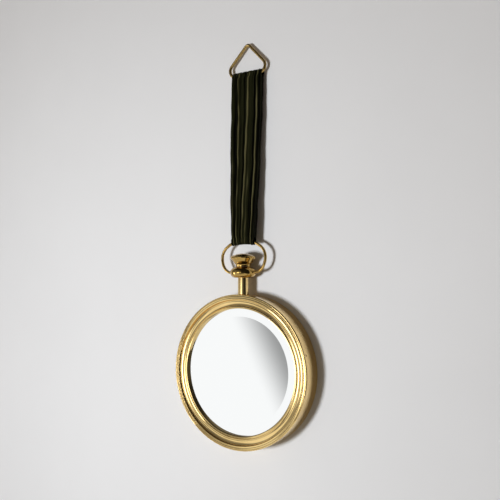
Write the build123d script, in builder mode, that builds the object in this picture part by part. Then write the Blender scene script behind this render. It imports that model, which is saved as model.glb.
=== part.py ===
from build123d import *
import os
from math import acos, asin, atan, atan2, cos, degrees, hypot, radians, sin

os.makedirs("parts", exist_ok=True)

# Hanging wall mirror made like a pocket watch.
# Millimetres. +Z up, -Y towards the viewer, +Y into the wall.
# The origin is the hang point, on the underside of the hanger's apex.

# Where it hangs
hook_gap = 7.0              # wall to the hang point

# Wire hanger
hanger_wire = 4.9           # wire diameter
hanger_width = 66.2         # between the centrelines at the two corners
hanger_height = 49.95       # bar centreline to apex centreline
hanger_corner_bend = 11.5   # centreline radius
hanger_apex_bend = 4.6      # centreline radius

# Strap
strap_span = 271.6          # hanger bar to bow seat
strap_top_width = 48.0
strap_bottom_width = 37.5
strap_edge_round = 2.0
bar_clearance = 0.65        # round the hanger bar
seat_clearance = 0.35       # round the bow's curved top
velvet_lining = 0.35        # between the channels and the webbing
velvet_cover = 1.1          # outside the webbing
webbing_thickness = 0.9
webbing_width = 30.0

# Bow
bow_wire = 4.6              # wire diameter
bow_half_width = 39.9       # centreline
bow_crest = 27.9            # widest point up to the crest, centreline
bow_shoulder = 23.4         # pivot up to the widest point
bow_side_bend = 22.0        # centreline radius above the widest point
bow_flank_bend = 30.0       # centreline radius below the widest point
bow_tip_clearance = 0.5     # bush face to the start of the bend
bow_tip_end = 0.3           # tip short of the bush's inner end
bow_running_fit = 0.06      # radial, tip in bush

# Collar, a turned bun with a fully rounded rim
collar_radius = 20.6
collar_height = 16.8
bush_spot_face = 0.8        # depth of the spot face for a bush
bush_radius = 3.2
bush_flange_radius = 4.1
bush_flange = 0.8
bush_depth = 9.0            # length inside the collar

# Crown
crown_rim_radius = 20.3
crown_base_radius = 11.7
crown_corner_radius = 12.0  # where the foot turns into the flare
crown_corner_height = 3.2   # above the washer
crown_corner_bend = 4.2
crown_flare_height = 13.2   # washer to the underside of the rim
crown_rim = 0.8
crown_dome = 7.0
crown_dome_bend = 2.6       # radius of the dome's shoulder
crown_thread_depth = 13.0
crown_washer = 0.8          # thickness
crown_washer_inset = 0.5    # in from the crown's base

# Neck
neck_length = 34.7          # case wall to the bow's pivot axis
neck_radius = 8.4
neck_wall = 1.4
stud_radius = 3.0
stud_clearance = 0.2
saddle_width = 16.0
saddle_depth = 11.0
saddle_height = 4.4         # at its middle
saddle_gap = 1.3            # behind the bezel's spigot
washer_radius = 5.5
washer_thickness = 1.5
nut_across_flats = 10.0
nut_height = 5.0
stud_end = 1.3              # below the nut

# Case
case_inset = 0.4            # case wall in from the bezel's outer edge
case_depth = 34.6           # wall to the seam with the bezel
case_sheet = 1.2
case_edge_round = 2.6
case_rim = 9.0              # width of the rim that meets the wall
case_recess = 1.6           # back plate in from the rim

# Bezel, its front described from the outer edge inwards
bezel_radius = 120.0
bezel_band = 2.6            # plain outer band in front of the seam
bezel_edge_round = 0.6
roll_width = 3.6            # sloped outer ring
roll_rise = 1.1
line_width = 0.6            # fine turned line
line_depth = 0.4
flat_width = 3.8            # raised ring inside the line
flat_rise = 0.4
well_drop = 3.7             # raised ring down to the foot of the bead
bead_width = 2.8
bead_rise = 0.5
cove_width = 3.4            # bead down to the groove
cove_drop = 0.8
groove_width = 0.6
slope_width = 3.8           # groove up to the lip
slope_rise = 1.2
lip_width = 3.5
lip_crest = 1.6             # slope to the lip's highest point
lip_rise = 0.5
lip_drop = 0.7              # slope's top down to the lip's inner edge
bezel_web = 2.4             # thickness behind the groove
spigot_length = 7.0
spigot_wall = 3.0
spigot_clearance = 0.1
barrel_wall = 3.4
barrel_end = 2.0            # barrel behind the retaining ring

# Bezel screws
screw_radius = 1.5
screw_length = 4.0
screw_sink = 0.6            # below the case wall
screw_slot = 0.6
screw_slot_depth = 0.9
screw_setback = 2.9         # behind the seam
screw_clearance = 0.1
screw_angles = (14.8, 134.8, 254.8)

# Glass and what holds it
lip_lap = 3.1               # glass behind the lip
glass_thickness = 5.0
glass_sink = 4.2            # lip's inner edge back to the front of the glass
bevel_width = 15.8
bevel_drop = 1.3            # at the glass's edge
glass_clearance = 0.4
felt_thickness = 1.5
board_thickness = 3.0
board_clearance = 1.0
ring_thickness = 1.5
ring_width = 4.0
ring_seat = 1.2             # depth of its groove in the barrel
ring_clearance = 0.1
ring_gap = 24.0             # degrees left open at the split

# Hanging line: bar, bow seat and pivot lie on one line that leans back to the hang point
case_radius = bezel_radius - case_inset
pendant_depth = case_depth - spigot_length - saddle_gap - saddle_depth / 2
hanger_drop = hanger_height - hanger_wire / 2
bow_crest_bend = ((bow_half_width - bow_side_bend) ** 2 + bow_crest ** 2 - bow_side_bend ** 2) / (
    2 * (bow_crest - bow_side_bend)
)
seat_sag = bow_crest_bend - (bow_crest_bend ** 2 - (strap_bottom_width / 2) ** 2) ** 0.5
bow_top = bow_shoulder + bow_crest
seat_rise = bow_top - seat_sag / 2
line_length = hanger_drop + strap_span + seat_rise
lean = asin((pendant_depth - hook_gap) / line_length)

wall_y = hook_gap
pendant_y = wall_y - pendant_depth
pivot_z = -line_length * cos(lean)
mirror_z = pivot_z - neck_length - case_radius

hang_plane = Plane(
    origin=(0, pendant_y, pivot_z), x_dir=(1, 0, 0), z_dir=(0, -cos(lean), sin(lean))
)
bar_rise = line_length - hanger_drop

# Sections across the hanging line, seen along the bar
strap_plane = Plane(
    origin=hang_plane.origin, x_dir=(0, sin(lean), cos(lean)), z_dir=(1, 0, 0)
)

# Half sections of the turned neck parts, and of the round case
neck_plane = Plane(origin=(0, pendant_y, pivot_z), x_dir=(1, 0, 0), z_dir=(0, -1, 0))
neck_axis = Axis((0, pendant_y, pivot_z), (0, 0, 1))
case_plane = Plane(origin=(0, wall_y, mirror_z), x_dir=(1, 0, 0), z_dir=(0, 0, -1))
case_axis = Axis((0, wall_y, mirror_z), (0, -1, 0))
case_face = Plane(origin=(0, wall_y, mirror_z), x_dir=(1, 0, 0), z_dir=(0, -1, 0))

# Wire hanger: bar, two rounded corners, two legs and a rounded apex
corner_centre = (hanger_width / 2 - hanger_corner_bend, bar_rise + hanger_corner_bend)
apex_centre = (0, bar_rise + hanger_height - hanger_apex_bend)
leg_run = apex_centre[0] - corner_centre[0]
leg_rise = apex_centre[1] - corner_centre[1]
leg_turn = degrees(
    atan2(leg_rise, leg_run) - acos((hanger_corner_bend - hanger_apex_bend) / hypot(leg_run, leg_rise))
)

with BuildPart() as hanger_triangle:
    with BuildLine(hang_plane) as hanger_path:
        Line((0, bar_rise), (corner_centre[0], bar_rise))
        corner = CenterArc(corner_centre, hanger_corner_bend, -90, 90 + leg_turn)
        apex = CenterArc(apex_centre, hanger_apex_bend, leg_turn, 90 - leg_turn)
        Line(corner @ 1, apex @ 0)
    with BuildSketch(Plane(origin=hanger_path.line @ 0, z_dir=hanger_path.line % 0)):
        Circle(hanger_wire / 2)
    sweep(path=hanger_path.line)
    mirror(about=Plane.YZ)

hanger_triangle.part.label = "hanger_triangle"
export_step(hanger_triangle.part, "parts/hanger_triangle.step")

# Strap: webbing loop round bar and bow seat, inside a gathered velvet sleeve
bar_channel = hanger_wire / 2 + bar_clearance
seat_channel = bow_wire / 2 + seat_sag / 2 + seat_clearance
webbing_bar_radius = bar_channel + velvet_lining
webbing_seat_radius = seat_channel + velvet_lining
strap_bar_radius = webbing_bar_radius + webbing_thickness + velvet_cover
strap_seat_radius = webbing_seat_radius + webbing_thickness + velvet_cover

with BuildPart() as core_webbing:
    with BuildSketch(strap_plane):
        with Locations((bar_rise, 0)):
            Circle(webbing_bar_radius + webbing_thickness)
        with Locations((seat_rise, 0)):
            Circle(webbing_seat_radius + webbing_thickness)
        make_hull()
    extrude(amount=webbing_width / 2, both=True)
    with BuildSketch(strap_plane):
        with Locations((bar_rise, 0)):
            Circle(webbing_bar_radius)
        with Locations((seat_rise, 0)):
            Circle(webbing_seat_radius)
        make_hull()
    extrude(amount=webbing_width / 2, both=True, mode=Mode.SUBTRACT)

core_webbing.part.label = "core_webbing"
export_step(core_webbing.part, "parts/core_webbing.step")

strap_foot = seat_rise - strap_seat_radius
strap_head = bar_rise + strap_bar_radius

with BuildPart() as velvet_strap:
    with BuildSketch(strap_plane):
        with Locations((bar_rise, 0)):
            Circle(strap_bar_radius)
        with Locations((seat_rise, 0)):
            Circle(strap_seat_radius)
        make_hull()
    extrude(amount=strap_top_width, both=True)
    with BuildSketch(hang_plane):
        with BuildLine():
            Polyline(
                (-strap_bottom_width / 2, strap_foot),
                (strap_bottom_width / 2, strap_foot),
                (strap_top_width / 2, strap_head),
                (-strap_top_width / 2, strap_head),
                close=True,
            )
        make_face()
    extrude(amount=strap_seat_radius + strap_bar_radius, both=True, mode=Mode.INTERSECT)
    fillet(velvet_strap.edges().filter_by(GeomType.LINE).filter_by(Axis.X, reverse=True), strap_edge_round)
    with BuildSketch(strap_plane):
        with Locations((bar_rise, 0)):
            Circle(bar_channel)
        with Locations((seat_rise, 0)):
            Circle(seat_channel)
    extrude(amount=strap_top_width, both=True, mode=Mode.SUBTRACT)
    add(core_webbing.part, mode=Mode.SUBTRACT)

velvet_strap.part.label = "velvet_strap"
export_step(velvet_strap.part, "parts/velvet_strap.step")

# Bow: an oval of tangent arcs whose ends turn in along the pivot axis
bush_face = collar_radius - bush_spot_face
bow_tip_start = bush_face + bush_flange + bow_tip_clearance
bow_tip_inset = bush_face - bush_depth + bow_tip_end
flank_inset = bow_half_width - bow_tip_start
flank_turn = 90 - 2 * degrees(atan((bow_flank_bend - bow_shoulder) / (bow_flank_bend - flank_inset)))
bow_foot_bend = bow_flank_bend - (bow_flank_bend - flank_inset) / cos(radians(flank_turn))
side_centre = (bow_half_width - bow_side_bend, bow_shoulder)
crest_centre = (0, bow_top - bow_crest_bend)
flank_centre = (bow_half_width - bow_flank_bend, bow_shoulder)
side_turn = degrees(atan2(side_centre[1] - crest_centre[1], side_centre[0]))

with BuildPart() as bow_ring:
    with BuildLine(hang_plane) as bow_path:
        CenterArc(crest_centre, bow_crest_bend, 90, side_turn - 90)
        CenterArc(side_centre, bow_side_bend, side_turn, -side_turn)
        CenterArc(flank_centre, bow_flank_bend, 0, -flank_turn)
        CenterArc((bow_tip_start, bow_foot_bend), bow_foot_bend, -flank_turn, flank_turn - 90)
        Line((bow_tip_start, 0), (bow_tip_inset, 0))
    with BuildSketch(Plane(origin=bow_path.line @ 0, z_dir=bow_path.line % 0)):
        Circle(bow_wire / 2)
    sweep(path=bow_path.line)
    mirror(about=Plane.YZ)

bow_ring.part.label = "bow_ring"
export_step(bow_ring.part, "parts/bow_ring.step")

# Collar: turned bun with a spot face and a bored seat for a bush at each side
rim_round = collar_height / 2
stud_bore = stud_radius + stud_clearance

with BuildPart() as collar:
    with BuildSketch(neck_plane):
        with BuildLine():
            Polyline((0, -rim_round), (collar_radius - rim_round, -rim_round))
            CenterArc((collar_radius - rim_round, 0), rim_round, -90, 180)
            Polyline((collar_radius - rim_round, rim_round), (0, rim_round), (0, -rim_round))
        make_face()
    revolve(axis=neck_axis)
    with BuildSketch(neck_plane):
        with Locations((bush_face + rim_round / 2, 0), (-bush_face - rim_round / 2, 0)):
            Rectangle(rim_round, collar_height)
    extrude(amount=collar_radius, both=True, mode=Mode.SUBTRACT)
    with BuildSketch(Plane.YZ):
        with Locations((pendant_y, pivot_z)):
            Circle(bush_radius)
    extrude(amount=collar_radius, both=True, mode=Mode.SUBTRACT)
    with BuildSketch(Plane.XY.offset(pivot_z)):
        with Locations((0, pendant_y)):
            Circle(stud_bore)
    extrude(amount=collar_height, both=True, mode=Mode.SUBTRACT)

collar.part.label = "collar"
export_step(collar.part, "parts/collar.step")

with BuildPart() as bow_bushes:
    with BuildSketch(Plane.YZ.offset(bush_face)):
        with Locations((pendant_y, pivot_z)):
            Circle(bush_flange_radius)
    extrude(amount=bush_flange)
    with BuildSketch(Plane.YZ.offset(bush_face)):
        with Locations((pendant_y, pivot_z)):
            Circle(bush_radius)
    extrude(amount=-bush_depth)
    with BuildSketch(Plane.YZ.offset(bush_face + bush_flange)):
        with Locations((pendant_y, pivot_z)):
            Circle(bow_wire / 2 + bow_running_fit)
    extrude(amount=-bush_depth - bush_flange, mode=Mode.SUBTRACT)
    mirror(about=Plane.YZ)

bow_bushes.part.label = "bow_bushes"
export_step(bow_bushes.part, "parts/bow_bushes.step")

# Crown: a short foot and a wide flare under a thin rim, domed on top, threaded on to the stud over a fibre washer
crown_base = rim_round + crown_washer
crown_rim_foot = crown_base + crown_flare_height
crown_rim_top = crown_rim_foot + crown_rim
dome_side = crown_rim_radius - crown_dome_bend
dome_top_bend = (dome_side ** 2 + crown_dome ** 2 - crown_dome_bend ** 2) / (2 * (crown_dome - crown_dome_bend))
dome_side_centre = (dome_side, crown_rim_top)
dome_top_centre = (0, crown_rim_top + crown_dome - dome_top_bend)
dome_turn = degrees(atan2(dome_top_bend - crown_dome, dome_side))

with BuildPart() as crown:
    with BuildSketch(neck_plane):
        with BuildLine():
            Line((0, crown_base), (crown_base_radius, crown_base))
            FilletPolyline(
                (crown_base_radius, crown_base),
                (crown_corner_radius, crown_base + crown_corner_height),
                (crown_rim_radius, crown_rim_foot),
                radius=crown_corner_bend,
            )
            Line((crown_rim_radius, crown_rim_foot), (crown_rim_radius, crown_rim_top))
            CenterArc(dome_side_centre, crown_dome_bend, 0, dome_turn)
            CenterArc(dome_top_centre, dome_top_bend, dome_turn, 90 - dome_turn)
            Line((0, crown_rim_top + crown_dome), (0, crown_base))
        make_face()
    revolve(axis=neck_axis)
    with BuildSketch(Plane.XY.offset(pivot_z + crown_base)):
        with Locations((0, pendant_y)):
            Circle(stud_radius)
    extrude(amount=crown_thread_depth, mode=Mode.SUBTRACT)

crown.part.label = "crown"
export_step(crown.part, "parts/crown.step")

with BuildPart() as crown_washer_ring:
    with BuildSketch(Plane.XY.offset(pivot_z + rim_round)):
        with Locations((0, pendant_y)):
            Circle(crown_base_radius - crown_washer_inset)
            Circle(stud_bore, mode=Mode.SUBTRACT)
    extrude(amount=crown_washer)

crown_washer_ring.part.label = "crown_washer"
export_step(crown_washer_ring.part, "parts/crown_washer.step")

# Neck tube: flat under the collar, cut to the round of the case at its foot
with BuildPart() as pendant_tube:
    with BuildSketch(Plane.XY.offset(pivot_z - rim_round)):
        with Locations((0, pendant_y)):
            Circle(neck_radius)
            Circle(neck_radius - neck_wall, mode=Mode.SUBTRACT)
    extrude(amount=-neck_length)
    with BuildSketch(case_face):
        Circle(case_radius)
    extrude(amount=case_depth, mode=Mode.SUBTRACT)

pendant_tube.part.label = "pendant_tube"
export_step(pendant_tube.part, "parts/pendant_tube.step")

# Stud, saddle, washer and nut that draw crown, collar and tube down on to the case
case_bore = case_radius - case_sheet
saddle_foot = mirror_z + case_bore - saddle_height
washer_foot = saddle_foot - washer_thickness
nut_foot = washer_foot - nut_height
stud_top = pivot_z + crown_base + crown_thread_depth

with BuildPart() as pendant_stud:
    with BuildSketch(Plane.XY.offset(nut_foot - stud_end)):
        with Locations((0, pendant_y)):
            Circle(stud_radius)
    extrude(amount=stud_top - nut_foot + stud_end)

pendant_stud.part.label = "pendant_stud"
export_step(pendant_stud.part, "parts/pendant_stud.step")

with BuildPart() as pendant_saddle:
    with BuildSketch(Plane.XY.offset(saddle_foot)):
        with Locations((0, pendant_y)):
            Rectangle(saddle_width, saddle_depth)
            Circle(stud_bore, mode=Mode.SUBTRACT)
    extrude(amount=2 * saddle_height)
    with BuildSketch(case_face):
        Circle(case_bore)
    extrude(amount=case_depth, mode=Mode.INTERSECT)

pendant_saddle.part.label = "pendant_saddle"
export_step(pendant_saddle.part, "parts/pendant_saddle.step")

with BuildPart() as pendant_washer:
    with BuildSketch(Plane.XY.offset(washer_foot)):
        with Locations((0, pendant_y)):
            Circle(washer_radius)
            Circle(stud_bore, mode=Mode.SUBTRACT)
    extrude(amount=washer_thickness)

pendant_washer.part.label = "pendant_washer"
export_step(pendant_washer.part, "parts/pendant_washer.step")

with BuildPart() as pendant_nut:
    with BuildSketch(Plane.XY.offset(nut_foot)):
        with Locations((0, pendant_y)):
            RegularPolygon(nut_across_flats / 2, 6, major_radius=False)
            Circle(stud_radius, mode=Mode.SUBTRACT)
    extrude(amount=nut_height)

pendant_nut.part.label = "pendant_nut"
export_step(pendant_nut.part, "parts/pendant_nut.step")

# Case: spun drum with a rounded back edge and a recessed back plate
rim_inner = case_radius - case_rim
screw_depth = case_depth - screw_setback
screw_planes = [
    Plane(
        origin=(case_radius * cos(radians(a)), wall_y - screw_depth, mirror_z + case_radius * sin(radians(a))),
        x_dir=(0, -1, 0),
        z_dir=(cos(radians(a)), 0, sin(radians(a))),
    )
    for a in screw_angles
]

with BuildPart() as case_drum:
    with BuildSketch(case_plane):
        with BuildLine():
            Line((case_radius, case_depth), (case_radius, case_edge_round))
            CenterArc((case_radius - case_edge_round, case_edge_round), case_edge_round, 0, -90)
            Polyline(
                (case_radius - case_edge_round, 0),
                (rim_inner, 0),
                (rim_inner - case_recess, case_recess),
                (0, case_recess),
                (0, case_recess + case_sheet),
                (rim_inner - case_recess, case_recess + case_sheet),
                (rim_inner, case_sheet),
                (case_radius - case_edge_round, case_sheet),
            )
            CenterArc(
                (case_radius - case_edge_round, case_edge_round), case_edge_round - case_sheet, -90, 90
            )
            Polyline((case_bore, case_edge_round), (case_bore, case_depth), (case_radius, case_depth))
        make_face()
    revolve(axis=case_axis)
    with BuildSketch(Plane.XY.offset(saddle_foot)):
        with Locations((0, pendant_y)):
            Circle(stud_bore)
    extrude(amount=saddle_height + neck_length, mode=Mode.SUBTRACT)
    with BuildSketch(*screw_planes):
        Circle(screw_radius + screw_clearance)
    extrude(amount=2 * case_sheet, both=True, mode=Mode.SUBTRACT)

case_drum.part.label = "case_drum"
export_step(case_drum.part, "parts/case_drum.step")

# Bezel: raised outer rings round a sunk bead and groove, a spigot in the case, a barrel round the glass
line_outer = bezel_radius - roll_width
line_inner = line_outer - line_width
well_radius = line_inner - flat_width
bead_inner = well_radius - bead_width
groove_outer = bead_inner - cove_width
groove_inner = groove_outer - groove_width
lip_outer = groove_inner - slope_width
lip_radius = lip_outer - lip_width
band_front = case_depth + bezel_band
roll_top = band_front + roll_rise
flat_top = roll_top + flat_rise
bead_foot = flat_top - well_drop
groove_floor = bead_foot - cove_drop
slope_top = groove_floor + slope_rise
lip_edge = slope_top - lip_drop
moulding_back = groove_floor - bezel_web
glass_radius = lip_radius + lip_lap
glass_face = lip_edge - glass_sink
bevel_radius = glass_radius - bevel_width
bevel_slope = bevel_drop / (glass_radius - bevel_radius)
barrel_bore = glass_radius + glass_clearance
barrel_radius = barrel_bore + barrel_wall
glass_back = glass_face - glass_thickness
felt_back = glass_back - felt_thickness
board_back = felt_back - board_thickness
ring_back = board_back - ring_thickness
ring_slot = ring_thickness + ring_clearance
barrel_back = board_back - ring_slot - barrel_end
lip_seat = glass_face - bevel_slope * (lip_radius - bevel_radius)
bore_seat = glass_face - bevel_slope * (barrel_bore - bevel_radius)
spigot_radius = case_bore - spigot_clearance
spigot_bore = spigot_radius - spigot_wall

with BuildPart() as bezel:
    with BuildSketch(case_plane):
        with BuildLine():
            Line((lip_radius, lip_seat), (lip_radius, lip_edge))
            ThreePointArc(
                (lip_radius, lip_edge),
                (lip_outer - lip_crest, slope_top + lip_rise),
                (lip_outer, slope_top),
            )
            Polyline(
                (lip_outer, slope_top),
                (groove_inner, groove_floor),
                (groove_outer, groove_floor),
                (bead_inner, bead_foot),
            )
            ThreePointArc(
                (bead_inner, bead_foot),
                (bead_inner + bead_width / 2, bead_foot + bead_rise),
                (well_radius, bead_foot),
            )
            Polyline(
                (well_radius, bead_foot),
                (well_radius, flat_top),
                (line_inner, roll_top),
                (line_inner + line_width / 2, roll_top - line_depth),
                (line_outer, roll_top),
                (bezel_radius, band_front),
                (bezel_radius, case_depth),
                (spigot_radius, case_depth),
                (spigot_radius, case_depth - spigot_length),
                (spigot_bore, case_depth - spigot_length),
                (spigot_bore, moulding_back),
                (barrel_radius, moulding_back),
                (barrel_radius, barrel_back),
                (barrel_bore, barrel_back),
                (barrel_bore, board_back - ring_slot),
                (barrel_bore + ring_seat, board_back - ring_slot),
                (barrel_bore + ring_seat, board_back),
                (barrel_bore, board_back),
                (barrel_bore, bore_seat),
                (lip_radius, lip_seat),
            )
        make_face()
    revolve(axis=case_axis)
    outer_edges = bezel.edges().filter_by(GeomType.CIRCLE).group_by(SortBy.RADIUS)[-1]
    fillet(outer_edges.sort_by(Axis.Y)[0], bezel_edge_round)
    with BuildSketch(*screw_planes):
        Circle(screw_radius)
    extrude(amount=-screw_sink - screw_length, mode=Mode.SUBTRACT)

bezel.part.label = "bezel"
export_step(bezel.part, "parts/bezel.step")

# Slotted grub screws, sunk below the case wall and threaded into the spigot
with BuildPart() as bezel_screws:
    with BuildSketch(*[p.offset(-screw_sink) for p in screw_planes]):
        Circle(screw_radius)
    extrude(amount=-screw_length)
    with BuildSketch(*[p.offset(-screw_sink) for p in screw_planes]):
        Rectangle(screw_slot, 2 * screw_radius + screw_clearance)
    extrude(amount=-screw_slot_depth, mode=Mode.SUBTRACT)

bezel_screws.part.label = "bezel_screws"
export_step(bezel_screws.part, "parts/bezel_screws.step")

# Bevelled glass, felt, board and the split ring that holds them in the barrel
with BuildPart() as mirror_glass:
    with BuildSketch(case_plane):
        with BuildLine():
            Polyline(
                (0, glass_back),
                (glass_radius, glass_back),
                (glass_radius, glass_face - bevel_drop),
                (bevel_radius, glass_face),
                (0, glass_face),
                close=True,
            )
        make_face()
    revolve(axis=case_axis)

mirror_glass.part.label = "mirror_glass"
export_step(mirror_glass.part, "parts/mirror_glass.step")

board_radius = barrel_bore - board_clearance

with BuildPart() as felt_pad:
    with BuildSketch(case_face.offset(felt_back)):
        Circle(board_radius)
    extrude(amount=felt_thickness)

felt_pad.part.label = "felt_pad"
export_step(felt_pad.part, "parts/felt_pad.step")

with BuildPart() as backing_board:
    with BuildSketch(case_face.offset(board_back)):
        Circle(board_radius)
    extrude(amount=board_thickness)

backing_board.part.label = "backing_board"
export_step(backing_board.part, "parts/backing_board.step")

ring_radius = barrel_bore + ring_seat - ring_clearance

with BuildPart() as retaining_ring:
    with BuildSketch(case_face.offset(ring_back)):
        Circle(ring_radius)
        Circle(ring_radius - ring_width, mode=Mode.SUBTRACT)
        with BuildLine():
            ring_cut = PolarLine((0, 0), 2 * ring_radius, -90 - ring_gap / 2)
            ring_end = PolarLine((0, 0), 2 * ring_radius, -90 + ring_gap / 2)
            Line(ring_cut @ 1, ring_end @ 1)
        make_face(mode=Mode.SUBTRACT)
    extrude(amount=ring_thickness)

retaining_ring.part.label = "retaining_ring"
export_step(retaining_ring.part, "parts/retaining_ring.step")
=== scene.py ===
"""Dressed model of a hanging wall mirror made like a pocket watch.

A bevelled mirror in a turned brass case hangs from a gathered velvet strap and a wire triangle.
The classes hold their sizes in millimetres; meshes are in metres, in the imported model's own frame.
"""
import logging
import math
from dataclasses import dataclass, field
from enum import Enum
from typing import Any, Optional, Sequence

import bpy
import numpy as np
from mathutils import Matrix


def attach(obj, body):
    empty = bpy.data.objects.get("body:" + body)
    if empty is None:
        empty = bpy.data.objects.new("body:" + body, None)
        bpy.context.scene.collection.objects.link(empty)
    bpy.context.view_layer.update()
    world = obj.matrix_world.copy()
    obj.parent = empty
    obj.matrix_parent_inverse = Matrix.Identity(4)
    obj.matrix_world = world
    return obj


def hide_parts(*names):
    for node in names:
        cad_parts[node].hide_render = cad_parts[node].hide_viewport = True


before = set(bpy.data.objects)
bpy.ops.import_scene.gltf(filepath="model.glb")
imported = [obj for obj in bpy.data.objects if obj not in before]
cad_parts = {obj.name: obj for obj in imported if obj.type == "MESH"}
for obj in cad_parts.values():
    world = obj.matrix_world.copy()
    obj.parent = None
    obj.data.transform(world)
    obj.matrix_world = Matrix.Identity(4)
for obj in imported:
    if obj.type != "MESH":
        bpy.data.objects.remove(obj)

MM = 0.001
LOG = logging.getLogger("wall_mirror")

Array = np.ndarray
Pair = tuple[float, float]
Triple = tuple[float, float, float]
Colour = tuple[float, float, float]
Socket = bpy.types.NodeSocket
Node = bpy.types.Node
Material = bpy.types.Material
Object = bpy.types.Object

TINY = 1e-9
UPRIGHT = (0.0, 0.0, 0.0)
FACING = (math.pi / 2, 0.0, 0.0)


class Body(Enum):
    """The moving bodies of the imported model."""

    HANGER = "hanger"
    STRAP = "strap"
    BOW = "bow"
    CASE = "case"


class Slot(Enum):
    """The record's material slots that new pieces use."""

    BRASS = "brass"
    WIRE = "hanger_wire"
    VELVET = "velvet"
    WEBBING = "webbing"
    MIRROR = "mirror"


@dataclass(frozen=True)
class Axes:
    """An origin in millimetres and three square directions, right-handed."""

    origin: Triple
    across: Triple
    along: Triple
    out: Triple

    def place(self, a: Array, b: Array, c: Array) -> Array:
        """Puts local coordinates into the part's frame: origin + a across + b along + c out.

        Args:
            a: Distances along the first direction.
            b: Distances along the second direction.
            c: Distances along the third direction.

        Returns:
            Points with a last axis of three, in millimetres.
        """
        local = np.stack(np.broadcast_arrays(a, b, c), axis=-1)
        return np.asarray(self.origin) + local @ np.array([self.across, self.along, self.out])


@dataclass(frozen=True)
class Layout:
    """Where the mirror hangs: the wall, the leaning strap line and the two turning axes."""

    hook_gap: float = 7.0
    pendant_depth: float = 20.8
    hanger_drop: float = 47.5
    strap_span: float = 271.6
    bow_half_width: float = 39.9
    bow_crest: float = 27.9
    bow_shoulder: float = 23.4
    bow_side_bend: float = 22.0
    strap_foot_width: float = 37.5
    neck_length: float = 34.7
    case_radius: float = 119.6

    @property
    def crest_bend(self) -> float:
        """Radius of the bow's top arc, tangent to its side arcs.

        Returns:
            The radius: run squared + crest squared - side bend squared, over twice crest less side bend.
        """
        run = self.bow_half_width - self.bow_side_bend
        rise = self.bow_crest ** 2 - self.bow_side_bend ** 2
        return (run ** 2 + rise) / (2 * (self.bow_crest - self.bow_side_bend))

    @property
    def seat_sag(self) -> float:
        """Drop of the bow's top arc at the strap's edges."""
        return self.crest_bend - math.sqrt(self.crest_bend ** 2 - (self.strap_foot_width / 2) ** 2)

    @property
    def seat_rise(self) -> float:
        """Height of the strap's seat above the bow's pivot, along the hanging line."""
        return self.bow_shoulder + self.bow_crest - self.seat_sag / 2

    @property
    def line_length(self) -> float:
        """Hang point to the bow's pivot."""
        return self.hanger_drop + self.strap_span + self.seat_rise

    @property
    def bar_rise(self) -> float:
        """Height of the hanger's bar above the bow's pivot, along the hanging line."""
        return self.line_length - self.hanger_drop

    @property
    def lean(self) -> float:
        """Angle by which the hanging line leans back to the wall, in radians."""
        return math.asin((self.pendant_depth - self.hook_gap) / self.line_length)

    @property
    def pivot(self) -> Triple:
        """Middle of the bow's pivot, on the neck's axis."""
        return (0.0, self.hook_gap - self.pendant_depth, -self.line_length * math.cos(self.lean))

    @property
    def mirror(self) -> Triple:
        """Middle of the mirror, in the plane of the wall."""
        return (0.0, self.hook_gap, self.pivot[2] - self.neck_length - self.case_radius)

    @property
    def hang_axes(self) -> Axes:
        """Across the strap, up the hanging line and out of the wall."""
        s, c = math.sin(self.lean), math.cos(self.lean)
        return Axes(self.pivot, (1, 0, 0), (0, s, c), (0, -c, s))

    @property
    def neck_axes(self) -> Axes:
        """Upright axes of neck, collar and crown."""
        return Axes(self.pivot, (1, 0, 0), (0, 1, 0), (0, 0, 1))

    @property
    def case_axes(self) -> Axes:
        """Axes of the round case, the third one out of the wall."""
        return Axes(self.mirror, (1, 0, 0), (0, 0, 1), (0, -1, 0))


@dataclass
class Shell:
    """A surface as arrays: points in millimetres, four-sided faces and three-sided faces."""

    points: Array
    quads: Array
    tris: Array = field(default_factory=lambda: np.zeros((0, 3), dtype=np.int64))
    uv: Optional[Array] = None

    def volume(self) -> float:
        """Adds up the triple product of each triangle's corners, over six.

        Returns:
            The volume, negative where the faces point inwards.
        """
        faces = np.vstack([self.quads[:, [0, 1, 2]], self.quads[:, [0, 2, 3]], self.tris])
        a, b, c = (self.points[faces[:, k]] for k in range(3))
        return float(np.einsum("ij,ij->", a, np.cross(b, c)) / 6.0)


def grid_shell(
    points: Array,
    close_rows: bool = False,
    start_pole: Optional[Array] = None,
    end_pole: Optional[Array] = None,
    uv: Optional[Array] = None,
) -> Shell:
    """Joins a grid of points whose columns go round into a skin.

    Args:
        points: Grid of shape (rows, columns, 3); the last column joins the first.
        close_rows: Whether the last row joins the first.
        start_pole: Point that closes the first row, if it is closed by a fan.
        end_pole: Point that closes the last row, if it is closed by a fan.
        uv: Map coordinates of shape (rows + 1, columns + 1, 2).

    Returns:
        The skin.
    """
    rows, cols = points.shape[:2]
    step = np.arange(rows if close_rows else rows - 1)
    i, j = (k.ravel() for k in np.meshgrid(step, np.arange(cols), indexing="ij"))
    up, side = (i + 1) % rows, (j + 1) % cols
    quads = np.stack([i * cols + j, i * cols + side, up * cols + side, up * cols + j], axis=1)
    flat = [points.reshape(-1, 3)]
    fans = [np.zeros((0, 3), dtype=np.int64)]
    ring = np.arange(cols)
    turned = (ring + 1) % cols
    if start_pole is not None:
        flat.append(np.reshape(start_pole, (1, 3)))
        fans.append(np.stack([np.full(cols, rows * cols), turned, ring], axis=1))
    if end_pole is not None:
        pole = np.full(cols, rows * cols + len(flat) - 1)
        flat.append(np.reshape(end_pole, (1, 3)))
        last = (rows - 1) * cols
        fans.append(np.stack([last + ring, last + turned, pole], axis=1))
    corner_uv = None
    if uv is not None:
        corner_uv = np.stack([uv[i, j], uv[i, j + 1], uv[i + 1, j + 1], uv[i + 1, j]], axis=1)
    return Shell(np.vstack(flat), quads, np.vstack(fans), corner_uv)


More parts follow.
